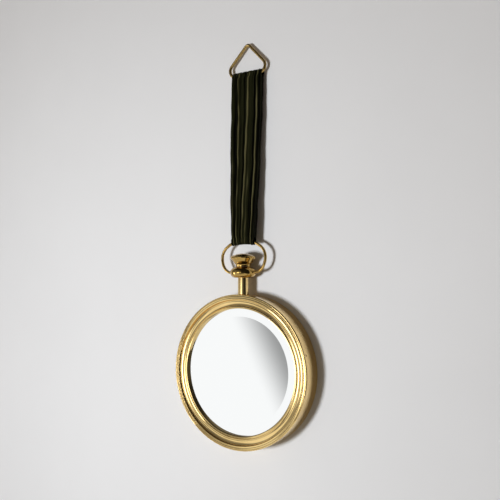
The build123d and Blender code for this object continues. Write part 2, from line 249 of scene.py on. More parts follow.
def join_shells(shells: Sequence[Shell]) -> Shell:
    """Puts several skins into one, each keeping its own points.

    Args:
        shells: The skins.

    Returns:
        The joined skin.
    """
    starts = np.cumsum([0] + [len(s.points) for s in shells])
    return Shell(
        np.vstack([s.points for s in shells]),
        np.vstack([s.quads + k for s, k in zip(shells, starts)]),
        np.vstack([s.tris + k for s, k in zip(shells, starts)]),
    )


def plain(points: Array) -> Array:
    """Marks points as outline corners that aren't rounded."""
    return np.column_stack([points, np.zeros(len(points))])


def even_turn(sides: int) -> Array:
    """Even angles round a full turn, in radians."""
    return np.linspace(0, 2 * np.pi, sides, endpoint=False)


def smooth(share: Array) -> Array:
    """Eases a share between 0 and 1: three times its square less twice its cube."""
    return share * share * (3 - 2 * share)


def rounded_outline(
    corners: Array, closed: bool, steps: int = 7, most: float = 0.42, hold: Pair = (0.12, 0.02)
) -> Array:
    """Rounds the corners of an outline.

    Each corner with a radius becomes an arc tangent to both its sides, with a holding point on each
    side so that flats stay flat when shaded. The arc's centre lies on the corner's bisector, at the
    radius over the sine of half the corner's angle.

    Args:
        corners: Rows of (radial place, axial place, corner radius).
        closed: Whether the last corner joins the first. If not, both ends stay as they are.
        steps: Points on each arc.
        most: Share of the shorter side that an arc may take.
        hold: Most distance of a holding point from its arc: a share of the shorter side, and a
            length that is added to twice the arc's reach.

    Returns:
        Points of shape (n, 2).
    """
    points, radius = corners[:, :2], corners[:, 2].copy()
    if not closed:
        radius[[0, -1]] = 0.0
    before = np.roll(points, 1, axis=0) - points
    after = np.roll(points, -1, axis=0) - points
    len_before, len_after = np.linalg.norm(before, axis=1), np.linalg.norm(after, axis=1)
    to_before, to_after = before / len_before[:, None], after / len_after[:, None]
    shorter = np.minimum(len_before, len_after)
    half = 0.5 * np.arccos(np.clip((to_before * to_after).sum(1), -0.99999, 0.99999))
    reach = np.minimum(radius / np.tan(half), most * shorter)
    radius = reach * np.tan(half)
    bisector = to_before + to_after
    bisector /= np.maximum(np.linalg.norm(bisector, axis=1), TINY)[:, None]
    centre = points + bisector * (radius / np.sin(half))[:, None]
    start, end = points + to_before * reach[:, None], points + to_after * reach[:, None]
    first, last = (np.arctan2(*(p - centre).T[::-1]) for p in (start, end))
    turn = (last - first + np.pi) % (2 * np.pi) - np.pi
    angles = first[:, None] + turn[:, None] * np.linspace(0, 1, steps)
    arcs = centre[:, None] + radius[:, None, None] * np.stack([np.cos(angles), np.sin(angles)], axis=-1)
    held = np.minimum(hold[0] * shorter * (reach > 0), 2 * reach + hold[1])[:, None]
    rows = np.concatenate(
        [(start + to_before * held)[:, None], arcs, (end + to_after * held)[:, None]], axis=1
    )
    keep = np.ones(rows.shape[:2], dtype=bool)
    keep[reach == 0, 1:] = False
    return rows[keep]


def lathe(outline: Array, axes: Axes, angles: Array) -> Shell:
    """Turns an outline about an axis: (r cos a, r sin a, h) for each outline point and angle.

    Args:
        outline: Points of (radius, height). One that starts and ends on the axis gets two poles;
            any other is closed on itself.
        axes: Where the axis is; heights go along the third direction.
        angles: The angles, in radians.

    Returns:
        The turned skin.
    """
    poled = outline[0, 0] < 1e-6 and outline[-1, 0] < 1e-6
    body = outline[1:-1] if poled else outline
    r, h = body[:, :1], body[:, 1:]
    grid = axes.place(r * np.cos(angles), r * np.sin(angles), h)
    if not poled:
        return grid_shell(grid, close_rows=True)
    ends = axes.place(np.zeros(2), np.zeros(2), outline[[0, -1], 1])
    return grid_shell(grid, start_pole=ends[0], end_pole=ends[1])


def bent_wire(path: Array, axes: Axes, radius: float, sides: int, closed: bool) -> Shell:
    """Carries a circle along a flat path.

    A point is the path's point + radius (cos a times the path's left normal + sin a times the
    direction out of the path's plane).

    Args:
        path: Points of (across, along).
        axes: The path's plane.
        radius: The wire's radius.
        sides: Number of sides.
        closed: Whether the path joins its own start.

    Returns:
        The wire's skin, with flat ends where it is open.
    """
    if closed:
        run = np.roll(path, -1, axis=0) - np.roll(path, 1, axis=0)
    else:
        run = np.gradient(path, axis=0)
    run /= np.linalg.norm(run, axis=1)[:, None]
    left = np.stack([-run[:, 1], run[:, 0]], axis=1)
    a = even_turn(sides)
    flat = path[:, None] + radius * np.cos(a)[None, :, None] * left[:, None]
    grid = axes.place(flat[..., 0], flat[..., 1], radius * np.sin(a))
    if closed:
        return grid_shell(grid, close_rows=True)
    ends = axes.place(path[[0, -1], 0], path[[0, -1], 1], np.zeros(2))
    return grid_shell(grid, start_pole=ends[0], end_pole=ends[1])


def sampled_arc(centre: Sequence[float], radius: float, start: float, turn: float, count: int) -> Array:
    """Points on an arc, without its last one.

    Args:
        centre: The arc's centre.
        radius: Its radius.
        start: Angle of its first point, in degrees.
        turn: Angle that it goes through, in degrees.
        count: Number of points.

    Returns:
        Points of shape (count, 2).
    """
    a = np.radians(start + turn * np.linspace(0, 1, count, endpoint=False))
    return np.asarray(centre) + radius * np.stack([np.cos(a), np.sin(a)], axis=1)


def add_mesh(name: str, shell: Shell, sharp: Optional[float] = None, closed: bool = True) -> Object:
    """Makes a Blender object of a skin and puts it into the scene.

    Args:
        name: Name of the object and its mesh.
        shell: The skin, in millimetres.
        sharp: Angle in degrees above which an edge is shaded sharp, or None for smooth all over.
        closed: Whether the skin is closed, so that its faces are turned outwards.

    Returns:
        The object, at the origin.
    """
    quads, tris, uv = shell.quads, shell.tris, shell.uv
    if closed and shell.volume() < 0:
        quads, tris = quads[:, ::-1], tris[:, ::-1]
        uv = None if uv is None else uv[:, ::-1]
    mesh = bpy.data.meshes.new(name)
    mesh.vertices.add(len(shell.points))
    mesh.vertices.foreach_set("co", (shell.points * MM).astype(np.float32).ravel())
    corners = np.concatenate([quads.ravel(), tris.ravel()]).astype(np.int32)
    starts = np.concatenate([np.arange(len(quads)) * 4, 4 * len(quads) + np.arange(len(tris)) * 3])
    mesh.loops.add(len(corners))
    mesh.loops.foreach_set("vertex_index", corners)
    mesh.polygons.add(len(starts))
    mesh.polygons.foreach_set("loop_start", starts.astype(np.int32))
    mesh.update(calc_edges=True)
    mesh.polygons.foreach_set("use_smooth", np.ones(len(starts), dtype=bool))
    if uv is not None:
        layer = mesh.uv_layers.new(name="cloth")
        layer.data.foreach_set("uv", uv.astype(np.float32).ravel())
    if sharp is not None:
        mesh.set_sharp_from_angle(angle=math.radians(sharp))
    mesh.validate()
    obj = bpy.data.objects.new(name, mesh)
    bpy.context.scene.collection.objects.link(obj)
    return obj


def add_piece(
    name: str,
    shell: Shell,
    body: Body,
    material: Material,
    stands_for: str,
    sharp: Optional[float] = None,
) -> Object:
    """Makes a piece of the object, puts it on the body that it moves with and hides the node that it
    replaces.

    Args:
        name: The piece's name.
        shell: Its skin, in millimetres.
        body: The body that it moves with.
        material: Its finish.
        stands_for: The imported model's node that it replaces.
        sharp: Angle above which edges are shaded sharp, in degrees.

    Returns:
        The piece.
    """
    obj = add_mesh(name, shell, sharp)
    obj.data.materials.append(material)
    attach(obj, body.value)
    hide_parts(stands_for)
    LOG.info("%s: %d points on %s", name, len(shell.points), body.value)
    return obj


def dress_node(node: str, material: Material) -> None:
    """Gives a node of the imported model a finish.

    Args:
        node: The node's name.
        material: The finish.
    """
    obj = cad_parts[node]
    if obj.material_slots:
        for place in obj.material_slots:
            place.material = material
    else:
        obj.data.materials.append(material)
    LOG.info("%s: dressed", node)


class Graph:
    """A shader tree that nodes are added to by kind, with values or links for their sockets."""

    def __init__(self, tree: bpy.types.NodeTree) -> None:
        """Keeps the tree."""
        self.tree = tree

    def feed(self, node: Node, inputs: dict[Any, Any]) -> None:
        """Sets or links a node's inputs.

        Args:
            node: The node.
            inputs: Values or output sockets, by the name or place of the node's input.
        """
        for key, value in inputs.items():
            if isinstance(value, Socket):
                self.tree.links.new(value, node.inputs[key])
            else:
                node.inputs[key].default_value = value

    def add(self, kind: str, inputs: Optional[dict[Any, Any]] = None, **settings: Any) -> Node:
        """Adds a node.

        Args:
            kind: Blender's name for the node.
            inputs: Values or output sockets, by the name or place of the node's input.
            settings: The node's own properties, set before its inputs.

        Returns:
            The node.
        """
        node = self.tree.nodes.new(kind)
        for key, value in settings.items():
            setattr(node, key, value)
        self.feed(node, inputs or {})
        return node

    def math(self, operation: str, a: Any, b: Any = 0.0, clamp: bool = False) -> Socket:
        """The result of an operation on values, kept between 0 and 1 if clamp is set."""
        return self.add("ShaderNodeMath", {0: a, 1: b}, operation=operation, use_clamp=clamp).outputs[0]

    def plus(self, a: Any, b: Any, clamp: bool = False) -> Socket:
        """One value and another."""
        return self.math("ADD", a, b, clamp)

    def times(self, a: Any, b: Any) -> Socket:
        """One value times another."""
        return self.math("MULTIPLY", a, b)

    def about_half(self, value: Any, share: float) -> Socket:
        """A value's distance from a half, times a share."""
        return self.times(self.math("SUBTRACT", value, 0.5), share)

    def hypot(self, a: Socket, b: Socket) -> Socket:
        """Square root of the sum of two squares."""
        return self.math("SQRT", self.plus(self.times(a, a), self.times(b, b)))

    def ramp(
        self, value: Any, low: float, high: float, to_low: float = 0.0, to_high: float = 1.0
    ) -> Socket:
        """Carries a value smoothly from one range to another.

        Args:
            value: The value.
            low: Start of its range.
            high: End of its range.
            to_low: Result at the start.
            to_high: Result at the end.

        Returns:
            The result's socket.
        """
        inputs = {0: value, 1: low, 2: high, 3: to_low, 4: to_high}
        return self.add("ShaderNodeMapRange", inputs, interpolation_type="SMOOTHSTEP").outputs[0]

    def noise(self, vector: Any, scale: Any, detail: float, rough: float) -> Socket:
        """The value of a noise with a scale, a number of octaves and their falling off."""
        inputs = {"Vector": vector, "Scale": scale, "Detail": detail, "Roughness": rough}
        return self.add("ShaderNodeTexNoise", inputs).outputs[0]

    def blend(self, factor: Any, a: Any, b: Any) -> Socket:
        """Mixes two colours.

        Args:
            factor: Share of the second.
            a: First colour, or its socket.
            b: Second colour, or its socket.

        Returns:
            The mixed colour's socket.
        """
        first, second = (c if isinstance(c, Socket) else (*c, 1.0) for c in (a, b))
        return self.add("ShaderNodeMix", {0: factor, 6: first, 7: second}, data_type="RGBA").outputs[2]

    def group(self, tree: bpy.types.NodeTree, **inputs: Any) -> Socket:
        """The result of a node group with the named inputs."""
        return self.add("ShaderNodeGroup", inputs, node_tree=tree).outputs[0]

    def place(self) -> Socket:
        """Object coordinates."""
        return self.add("ShaderNodeTexCoord").outputs["Object"]

    def place_from(self, centre: Triple) -> Socket:
        """Object coordinates less a centre that is given in millimetres."""
        back = tuple(-c * MM for c in centre)
        return self.add("ShaderNodeVectorMath", {0: self.place(), 1: back}, operation="ADD").outputs[0]

    def mapped(self, vector: Socket, turn: Triple = UPRIGHT, scale: Triple = (1.0, 1.0, 1.0)) -> Socket:
        """Scales a vector and turns it, in radians."""
        inputs = {"Vector": vector, "Rotation": turn, "Scale": scale}
        return self.add("ShaderNodeMapping", inputs).outputs[0]

    def bump(self, height: Socket, strength: float, distance: float) -> Socket:
        """The normal of a surface lifted by a height, over a distance in metres."""
        inputs = {"Height": height, "Strength": strength, "Distance": distance}
        return self.add("ShaderNodeBump", inputs).outputs[0]


class Effects:
    """Surface effects that several finishes share, each a node group built once."""

    def __init__(self) -> None:
        """Builds the groups."""
        self.turned = self._turned_lines()
        self.tarnish = self._tarnish()
        self.scratches = self._scratches()

    @staticmethod
    def _open(name: str, values: dict[str, float], output: str) -> tuple[Graph, Any, Node]:
        """Starts a group with a vector and named values in, and one value out.

        Args:
            name: The group's name.
            values: Default by the name of each value.
            output: Name of the value that it puts out.

        Returns:
            Its graph, its inputs by name and its output node.
        """
        tree = bpy.data.node_groups.new(name, "ShaderNodeTree")
        tree.interface.new_socket(name="Vector", in_out="INPUT", socket_type="NodeSocketVector")
        for key, default in values.items():
            socket = tree.interface.new_socket(name=key, in_out="INPUT", socket_type="NodeSocketFloat")
            socket.default_value = default
        tree.interface.new_socket(name=output, in_out="OUTPUT", socket_type="NodeSocketFloat")
        graph = Graph(tree)
        return graph, graph.add("NodeGroupInput").outputs, graph.add("NodeGroupOutput")

    def _turned_lines(self) -> bpy.types.NodeTree:
        """Fine rings left by a lathe: noise of radius and height, hardly changing with the angle.

        Returns:
            The group.
        """
        g, given, sink = self._open("turned_lines", {"Density": 900.0, "Breakup": 1.5}, "Lines")
        x, y, z = g.add("ShaderNodeSeparateXYZ", {0: given["Vector"]}).outputs
        radius = g.hypot(x, y)
        safe = g.math("MAXIMUM", radius, 1e-5)
        cosine, sine = (g.times(g.math("DIVIDE", k, safe), given["Breakup"]) for k in (x, y))
        across, height = (g.times(k, given["Density"]) for k in (radius, z))
        place = g.add("ShaderNodeCombineXYZ", {0: across, 1: height, 2: cosine}).outputs[0]
        settings = {"Vector": place, "W": sine, "Scale": 1.0, "Detail": 2.0, "Roughness": 0.6}
        lines = g.add("ShaderNodeTexNoise", settings, noise_dimensions="4D").outputs[0]
        g.feed(sink, {0: g.ramp(lines, 0.3, 0.7)})
        return g.tree

    def _tarnish(self) -> bpy.types.NodeTree:
        """Cloudy patches with a few darker spots in them, the spots seven times as fine.

        Returns:
            The group.
        """
        g, given, sink = self._open("tarnish", {"Scale": 30.0, "Amount": 0.5}, "Mask")
        cloud = g.noise(given["Vector"], given["Scale"], 5.0, 0.62)
        fine = g.noise(given["Vector"], g.times(given["Scale"], 7.0), 4.0, 0.7)
        patches = g.ramp(cloud, 0.42, 0.72)
        spots = g.ramp(fine, 0.6, 0.74, 0.0, 0.6)
        both = g.plus(patches, g.times(spots, patches), clamp=True)
        g.feed(sink, {0: g.times(both, given["Amount"])})
        return g.tree

    def _scratches(self) -> bpy.types.NodeTree:
        """Thin hairlines in two directions: noise stretched along one line and cut to its peaks.

        Returns:
            The group.
        """
        g, given, sink = self._open("hairline_scratches", {"Scale": 60.0}, "Mask")
        masks = []
        for turn in (0.5, 1.9):
            stretch = g.mapped(given["Vector"], (0.3, turn, turn / 2), (0.06, 2.4, 2.4))
            masks.append(g.ramp(g.noise(stretch, given["Scale"], 2.0, 0.5), 0.66, 0.72))
        g.feed(sink, {0: g.math("MAXIMUM", *masks)})
        return g.tree


def new_material(name: str) -> tuple[Material, Graph, Node]:
    """Starts a material with a Principled shader.

    Args:
        name: The material's name.

    Returns:
        The material, its graph and its shader node.
    """
    material = bpy.data.materials.new(name)
    material.use_nodes = True
    shader = next(n for n in material.node_tree.nodes if n.type == "BSDF_PRINCIPLED")
    return material, Graph(material.node_tree), shader


@dataclass(frozen=True)
class TurnedBrass:
    """Polished brass with fine lathe lines, a little tarnish and hairline scratches."""

    name: str
    centre: Triple
    turn: Triple
    colour: Colour = (0.90, 0.66, 0.29)
    deep: Colour = (0.50, 0.31, 0.09)
    smooth: float = 0.08
    dull: float = 0.24
    tarnish: float = 0.5
    tarnish_scale: float = 34.0
    line_density: float = 900.0
    line_breakup: float = 1.4
    line_depth: float = 0.000012
    line_tone: float = 0.12
    hair_scale: float = 70.0
    hair_depth: float = 0.8
    wear_shares: Triple = (0.6, 0.3, 0.35)
    relief: float = 0.35

    def build(self, effects: Effects) -> Material:
        """Makes the material: lines and tarnish change colour, roughness and normal.

        Args:
            effects: The shared effects.

        Returns:
            The material.
        """
        material, g, shader = new_material(self.name)
        local = g.mapped(g.place_from(self.centre), self.turn)
        lines = g.group(effects.turned, Vector=local, Density=self.line_density, Breakup=self.line_breakup)
        patches = g.group(effects.tarnish, Vector=local, Scale=self.tarnish_scale, Amount=self.tarnish)
        hairs = g.group(effects.scratches, Vector=local, Scale=self.hair_scale)
        darker = g.plus(patches, g.times(lines, self.line_tone), clamp=True)
        by_patch, by_line, by_hair = self.wear_shares
        wear = g.plus(g.times(patches, by_patch), g.times(lines, by_line))
        wear = g.plus(wear, g.times(hairs, by_hair), clamp=True)
        height = g.math("SUBTRACT", lines, g.times(hairs, self.hair_depth))
        inputs = {
            "Base Color": g.blend(darker, self.colour, self.deep),
            "Roughness": g.ramp(wear, 0.0, 1.0, self.smooth, self.dull),
            "Normal": g.bump(height, self.relief, self.line_depth),
            "Metallic": 1.0,
        }
        g.feed(shader, inputs)
        return material


@dataclass(frozen=True)
class SilveredGlass:
    """Mirror glass: a bright silver face with faint smears and a darker line at its rim."""

    name: str = "silvered_glass"
    colour: Colour = (0.93, 0.945, 0.945)
    rim_colour: Colour = (0.42, 0.45, 0.44)
    rim_start: float = 98.4
    rim_end: float = 100.6
    smear: float = 0.035
    smear_scale: float = 11.0
    clear: float = 0.004

    def build(self, effects: Effects, layout: Layout) -> Material:
        """Makes the material: its rim by the distance from the mirror's axis, its smears by tarnish.

        Args:
            effects: The shared effects.
            layout: Where the mirror's axis is.

        Returns:
            The material.
        """
        material, g, shader = new_material(self.name)
        local = g.place_from((0.0, 0.0, layout.mirror[2]))
        x, _, z = g.add("ShaderNodeSeparateXYZ", {0: local}).outputs
        rim = g.ramp(g.hypot(x, z), self.rim_start * MM, self.rim_end * MM)
        smears = g.group(effects.tarnish, Vector=local, Scale=self.smear_scale, Amount=1.0)
        inputs = {
            "Base Color": g.blend(rim, self.colour, self.rim_colour),
            "Roughness": g.ramp(smears, 0.0, 1.0, self.clear, self.smear),
            "Metallic": 1.0,
        }
        g.feed(shader, inputs)
        return material


@dataclass(frozen=True)
class Velvet:
    """Dark olive velvet: a painted highlight along the crests of its folds, painted shade in its valleys,
    and streaks of turned nap.
    """

    name: str = "olive_velvet"
    # The valley colour is painted shade and the crest colour a painted highlight; the slope colour is the
    # velvet's own dark olive.
    valley_shade: Colour = (0.0004, 0.0004, 0.0003)
    slope: Colour = (0.0115, 0.0120, 0.0046)
    crest: Colour = (0.125, 0.113, 0.050)
    nap_scale: Triple = (420.0, 26.0, 1.0)
    nap_share: float = 0.45
    crush_scale: Triple = (110.0, 15.0, 1.0)
    crush_share: float = 0.85
    pile_scale: float = 2600.0
    pile_depth: float = 0.0004
    sheen: float = 0.08
    sheen_colour: Colour = (0.62, 0.60, 0.36)
    sheen_roughness: float = 0.42
    slope_range: Pair = (0.08, 0.50)
    crest_highlight_range: Pair = (0.60, 1.08)
    roughness: Pair = (0.72, 0.95)
    pile_share: float = 0.5
    relief: float = 0.5
    shine: float = 0.05

    def build(self) -> Material:
        """Makes the material from the cloth's own map and its fold height.

        Nap and crushed patches move the fold height up and down. The colour goes from the valleys' painted
        shade to the slope's own colour, and near the top to the crests' painted highlight.

        Returns:
            The material.
        """
        material, g, shader = new_material(self.name)
        cloth = g.add("ShaderNodeUVMap", uv_map="cloth").outputs[0]
        fold = g.add("ShaderNodeAttribute", attribute_name="fold").outputs["Fac"]
        nap = g.noise(g.mapped(cloth, scale=self.nap_scale), 1.0, 4.0, 0.6)
        crush = g.noise(g.mapped(cloth, scale=self.crush_scale), 1.0, 3.0, 0.55)
        pile = g.noise(cloth, self.pile_scale, 2.0, 0.6)
        height = g.plus(fold, g.about_half(nap, self.nap_share))
        height = g.plus(height, g.about_half(crush, self.crush_share))
        low = g.blend(g.ramp(height, *self.slope_range), self.valley_shade, self.slope)
        rough = g.plus(g.times(pile, self.pile_share), nap)
        inputs = {
            # Painted light: valleys painted dark as shade, crests painted pale as a highlight.
            "Base Color": g.blend(g.ramp(height, *self.crest_highlight_range), low, self.crest),
            "Roughness": g.ramp(pile, 0.3, 0.7, *self.roughness),
            "Normal": g.bump(rough, self.relief, self.pile_depth),
            "Sheen Weight": self.sheen,
            "Sheen Roughness": self.sheen_roughness,
            "Sheen Tint": (*self.sheen_colour, 1.0),
            "Specular IOR Level": self.shine,
        }
        g.feed(shader, inputs)
        return material


class Grain(Enum):
    """How a plain finish is broken up."""

    FLECKED = "flecked"
    WOVEN = "woven"
    BRUSHED = "brushed"


@dataclass(frozen=True)
class PlainFinish:
    """A finish of two tones in a grain."""

    name: str
    light: Colour
    dark: Colour
    grain: Grain
    scale: float
    roughness: float
    metallic: float = 0.0
    rough_shares: Pair = (1.1, 0.85)
    relief: float = 0.4
    depth: float = 0.0001

    def pattern(self, g: Graph) -> Socket:
        """The grain: crossed waves, noise drawn out along the height, or plain noise.

        Args:
            g: The material's graph.

        Returns:
            The grain's value.
        """
        place = g.place()
        if self.grain is Grain.WOVEN:
            inputs = {"Vector": place, "Scale": self.scale, "Distortion": 0.6, "Detail": 1.0}
            waves = (g.add("ShaderNodeTexWave", inputs, bands_direction=way) for way in "XZ")
            return g.times(*(wave.outputs[1] for wave in waves))
        if self.grain is Grain.BRUSHED:
            return g.noise(g.mapped(place, scale=(1.0, 1.0, 0.04)), self.scale, 3.0, 0.6)
        return g.noise(place, self.scale, 6.0, 0.7)

    def build(self) -> Material:
        """Makes the material: the grain mixes the tones, lifts the surface and dulls it.

        Returns:
            The material.
        """
        material, g, shader = new_material(self.name)
        mask = g.ramp(self.pattern(g), 0.3, 0.7)
        dull, bright = (self.roughness * share for share in self.rough_shares)
        inputs = {
            "Base Color": g.blend(mask, self.dark, self.light),
            "Roughness": g.ramp(mask, 0.0, 1.0, dull, bright),
            "Normal": g.bump(mask, self.relief, self.depth),
            "Metallic": self.metallic,
        }
        g.feed(shader, inputs)
        return material


@dataclass
class Hanger:
    """The wire triangle: a bar, two rounded corners, two legs and a rounded apex."""

    layout: Layout
    wire: float = 4.9
    width: float = 66.2
    height: float = 49.95
    corner_bend: float = 11.5
    apex_bend: float = 4.6
    bar_start: float = 0.4
    straight_steps: int = 13
    corner_steps: int = 40
    apex_steps: int = 18
    sides: int = 28
    finish: PlainFinish = PlainFinish(
        "aged_wire", (0.62, 0.43, 0.16), (0.28, 0.18, 0.06), Grain.FLECKED, 260.0, 0.20, 1.0
    )

    def path(self) -> Array:
        """Centreline: half of it from the bar's middle to the apex, then its mirror image.

        The leg is tangent to both bends. Its normal turns from the line between their centres by the
        arc cosine of the difference of their radii over their distance.

        Returns:
            Points of (across, along), closed.
        """
        rise = self.layout.bar_rise
        corner = np.array([self.width / 2 - self.corner_bend, rise + self.corner_bend])
        apex = np.array([0.0, rise + self.height - self.apex_bend])
        gap = apex - corner
        facing = math.acos((self.corner_bend - self.apex_bend) / math.hypot(*gap))
        angle = math.atan2(gap[1], gap[0]) - facing
        turn = math.degrees(angle)
        steps = np.linspace(0, 1, self.straight_steps + 1)[:-1]
        across = self.bar_start + steps * (corner[0] - self.bar_start)
        bar = np.column_stack([across, np.full(self.straight_steps, rise)])
        bend = sampled_arc(corner, self.corner_bend, -90, 90 + turn, self.corner_steps)
        top = sampled_arc(apex, self.apex_bend, turn, 90 - turn, self.apex_steps)
        foot = corner + self.corner_bend * np.array([math.cos(angle), math.sin(angle)])
        leg = foot + steps[:, None] * (top[0] - foot)
        half = np.vstack([bar, bend, leg, top])
        return np.vstack([half, [[0.0, apex[1] + self.apex_bend]], (half * [-1, 1])[::-1]])

    def build(self) -> None:
        """Makes the wire and gives it an aged brass finish."""
        wire = bent_wire(self.path(), self.layout.hang_axes, self.wire / 2, self.sides, closed=True)
        add_piece("triangle_wire", wire, Body.HANGER, self.finish.build(), "hanger_triangle")


@dataclass(frozen=True)
class Fold:
    """One fold of the strap: its place across, half width and height at foot, middle and head.

    Places and widths are shares of the strap's width, heights are millimetres. For a crease the height is
    its depth, as a share, and also how dark its painted shade is.
    """

    place: Triple
    spread: Triple
    height: Triple


FRONT_FOLDS = (
    Fold((0.13, 0.12, 0.06), (0.028, 0.038, 0.070), (3.3, 2.6, 1.6)),
    Fold((0.265, 0.325, 0.25), (0.040, 0.046, 0.060), (3.1, 3.3, 2.8)),
    Fold((0.37, 0.46, 0.42), (0.070, 0.080, 0.070), (1.9, 1.8, 2.0)),
    Fold((0.50, 0.600, 0.60), (0.050, 0.040, 0.050), (2.5, 4.1, 3.2)),
    Fold((0.64, 0.70, 0.70), (0.070, 0.065, 0.050), (2.6, 2.3, 1.9)),
    Fold((0.79, 0.80, 0.785), (0.018, 0.018, 0.022), (2.4, 1.0, 3.0)),
    Fold((0.895, 0.925, 0.89), (0.036, 0.034, 0.040), (3.4, 3.9, 2.9)),
    Fold((0.965, 0.99, 0.98), (0.030, 0.025, 0.040), (2.0, 1.4, 1.6)),
)
# Creases: narrow shallow grooves, painted darker as shade.
CREASES = (
    Fold((0.19, 0.285, 0.20), (0.018, 0.018, 0.020), (0.4, 0.9, 0.8)),
    Fold((0.43, 0.50, 0.46), (0.020, 0.020, 0.020), (0.9, 0.5, 0.4)),
    Fold((0.83, 0.845, 0.81), (0.020, 0.022, 0.022), (0.9, 1.0, 0.9)),
    Fold((0.945, 0.97, 0.955), (0.015, 0.015, 0.018), (0.6, 0.8, 0.7)),
)
BACK_FOLDS = (
    Fold((0.07, 0.06, 0.05), (0.070, 0.070, 0.070), (1.6, 1.9, 1.4)),
    Fold((0.24, 0.20, 0.22), (0.065, 0.060, 0.070), (1.8, 2.4, 1.6)),
    Fold((0.40, 0.37, 0.41), (0.070, 0.060, 0.060), (1.6, 2.1, 1.5)),
    Fold((0.58, 0.56, 0.57), (0.065, 0.065, 0.065), (1.8, 2.5, 1.6)),
    Fold((0.75, 0.78, 0.76), (0.060, 0.055, 0.060), (1.6, 2.0, 1.4)),
    Fold((0.93, 0.94, 0.95), (0.060, 0.060, 0.060), (1.6, 1.9, 1.4)),
)


@dataclass
class Strap:
    """The gathered velvet loop round the hanger's bar and the bow's top, and the webbing in it."""

    layout: Layout
    head_width: float = 48.0
    left_fullness: Triple = (3.2, 5.7, 2.9)
    right_fullness: Triple = (1.5, 4.5, 5.5)
    fold_foot: float = 1.35
    fold_power: float = 1.7
    tallest: float = 3.6
    crease_depth: float = 1.5
    held_start: float = 2.5
    held_fade: float = 5.0
    held_calm: float = 0.7
    pleats: tuple[Triple, ...] = ((1.0, 71.0, 0.4), (0.7, 113.0, 1.1))
    pleat_height: float = 0.2
    # This share paints highlight and shade along the gathers near the wires.
    pleat_light: float = 0.16
    edge_waves: tuple[Triple, ...] = ((0.35, 19.0, 0.0), (0.25, 43.0, 1.3))
    gather: float = 0.055
    gather_reach: float = 14.0
    seat_reach: float = 30.0
    bar_radius: float = 5.25
    seat_radius: float = 5.25
    bar_hollow: float = 3.1
    seat_hollow: float = 4.87
    hollow_gap: float = 0.15
    webbing_half_width: float = 15.0
    webbing_bar: Pair = (3.45, 4.35)
    webbing_seat: Pair = (4.38, 4.68)
    webbing_columns: int = 13
    webbing_sharp: float = 50.0
    seat_follow: float = 0.5
    cloth: float = 0.5
    edge_gap: float = 0.6
    edge_share: float = 0.05
    edge_crowding: float = 0.55
    inner_inset: float = 0.012
    # This share darkens the inside of the loop as painted shade.
    inner_shade: float = 0.4
    flat_width: float = 0.064
    flat_length: float = 0.580
    front_rows: int = 136
    back_rows: int = 64
    bend_rows: int = 30
    columns: int = 190
    velvet: Velvet = Velvet()
    webbing: PlainFinish = PlainFinish(
        "woven_webbing", (0.17, 0.15, 0.10), (0.08, 0.07, 0.05), Grain.WOVEN, 900.0, 0.85
    )

    @staticmethod
    def parabola(values: Any, head: Array) -> Array:
        """Carries values at foot, middle and head along the strap, by the parabola through them.

        At share s the weights are (1 - s)(1 - 2s), 4s(1 - s) and s(2s - 1).

        Args:
            values: The values, with a last axis of three.
            head: Share of the way up, one for each row.

        Returns:
            The values, with a last axis of rows.
        """
        weights = np.stack([(1 - head) * (1 - 2 * head), 4 * head * (1 - head), head * (2 * head - 1)])
        return np.tensordot(np.asarray(values), weights, axes=(-1, 0))

    @staticmethod
    def waves(parts: Sequence[Triple], share: Array) -> Array:
        """Adds up waves of (height, steps in radians for the whole run, start)."""
        return sum(height * np.sin(share * pace + start) for height, pace, start in parts)

    def loop(self, bar_radius: float, seat_radius: float) -> tuple[Array, Array, Array, Array]:
        """The strap's run seen from its edge: two straight runs and the bends round bar and seat.

        Both runs touch a circle round the bar and one round the seat. The normal's share along the
        strap is the difference of the radii over the span.

        Args:
            bar_radius: Radius of the bend round the bar.
            seat_radius: Radius of the bend round the bow.

        Returns:
            Rows of (along, out) on the loop, rows of its outward normals, the share of the way from
            the front run to the back run, and the share that each row is held by a wire.
        """
        bar = np.array([self.layout.bar_rise, 0.0])
        seat = np.array([self.layout.seat_rise, 0.0])
        start = math.acos((seat_radius - bar_radius) / (bar[0] - seat[0]))
        down = np.linspace(0, 1, self.front_rows, endpoint=False)
        up = 0.5 - 0.5 * np.cos(np.linspace(0, np.pi, self.back_rows, endpoint=False))
        bend = np.linspace(0, 1, self.bend_rows, endpoint=False)
        angles = [
            np.full(self.front_rows, start),
            start + bend * (2 * np.pi - 2 * start),
            np.full(self.back_rows, -start),
            -start + bend * 2 * start,
        ]
        angles = np.concatenate(angles)
        share = np.concatenate([down, np.ones(self.bend_rows), 1 - up, np.zeros(self.bend_rows)])
        normal = np.stack([np.cos(angles), np.sin(angles)], axis=1)
        radius = bar_radius + (seat_radius - bar_radius) * share
        points = bar + (seat - bar) * share[:, None] + radius[:, None] * normal
        turn = smooth(bend)
        back = np.concatenate([np.zeros(self.front_rows), turn, np.ones(self.back_rows), 1 - turn])
        near = np.minimum(share, 1 - share) * np.linalg.norm(seat - bar)
        held = 1 - np.clip((near - self.held_start) / self.held_fade, 0, 1)
        return points, normal, back, smooth(held)

    def seat_curve(self, along: Array, across: Array) -> Array:
        """Shift along the strap by which its seat follows half of the bow's curve.

        At distance u from the middle the bow is crest bend - sqrt(crest bend squared - u squared)
        below its top. The shift fades out up the strap.

        Args:
            along: Places up the strap from the bow's pivot, one for each row.
            across: Places across the strap, (rows, columns).

        Returns:
            Shifts, (rows, columns).
        """
        bend = self.layout.crest_bend
        fall = bend - np.sqrt(bend ** 2 - np.clip(across, -bend, bend) ** 2)
        fade = 1 - smooth(np.clip((along - self.layout.seat_rise) / self.seat_reach, 0, 1))
        return self.seat_follow * (self.layout.seat_sag / 2 - fall) * fade[:, None]

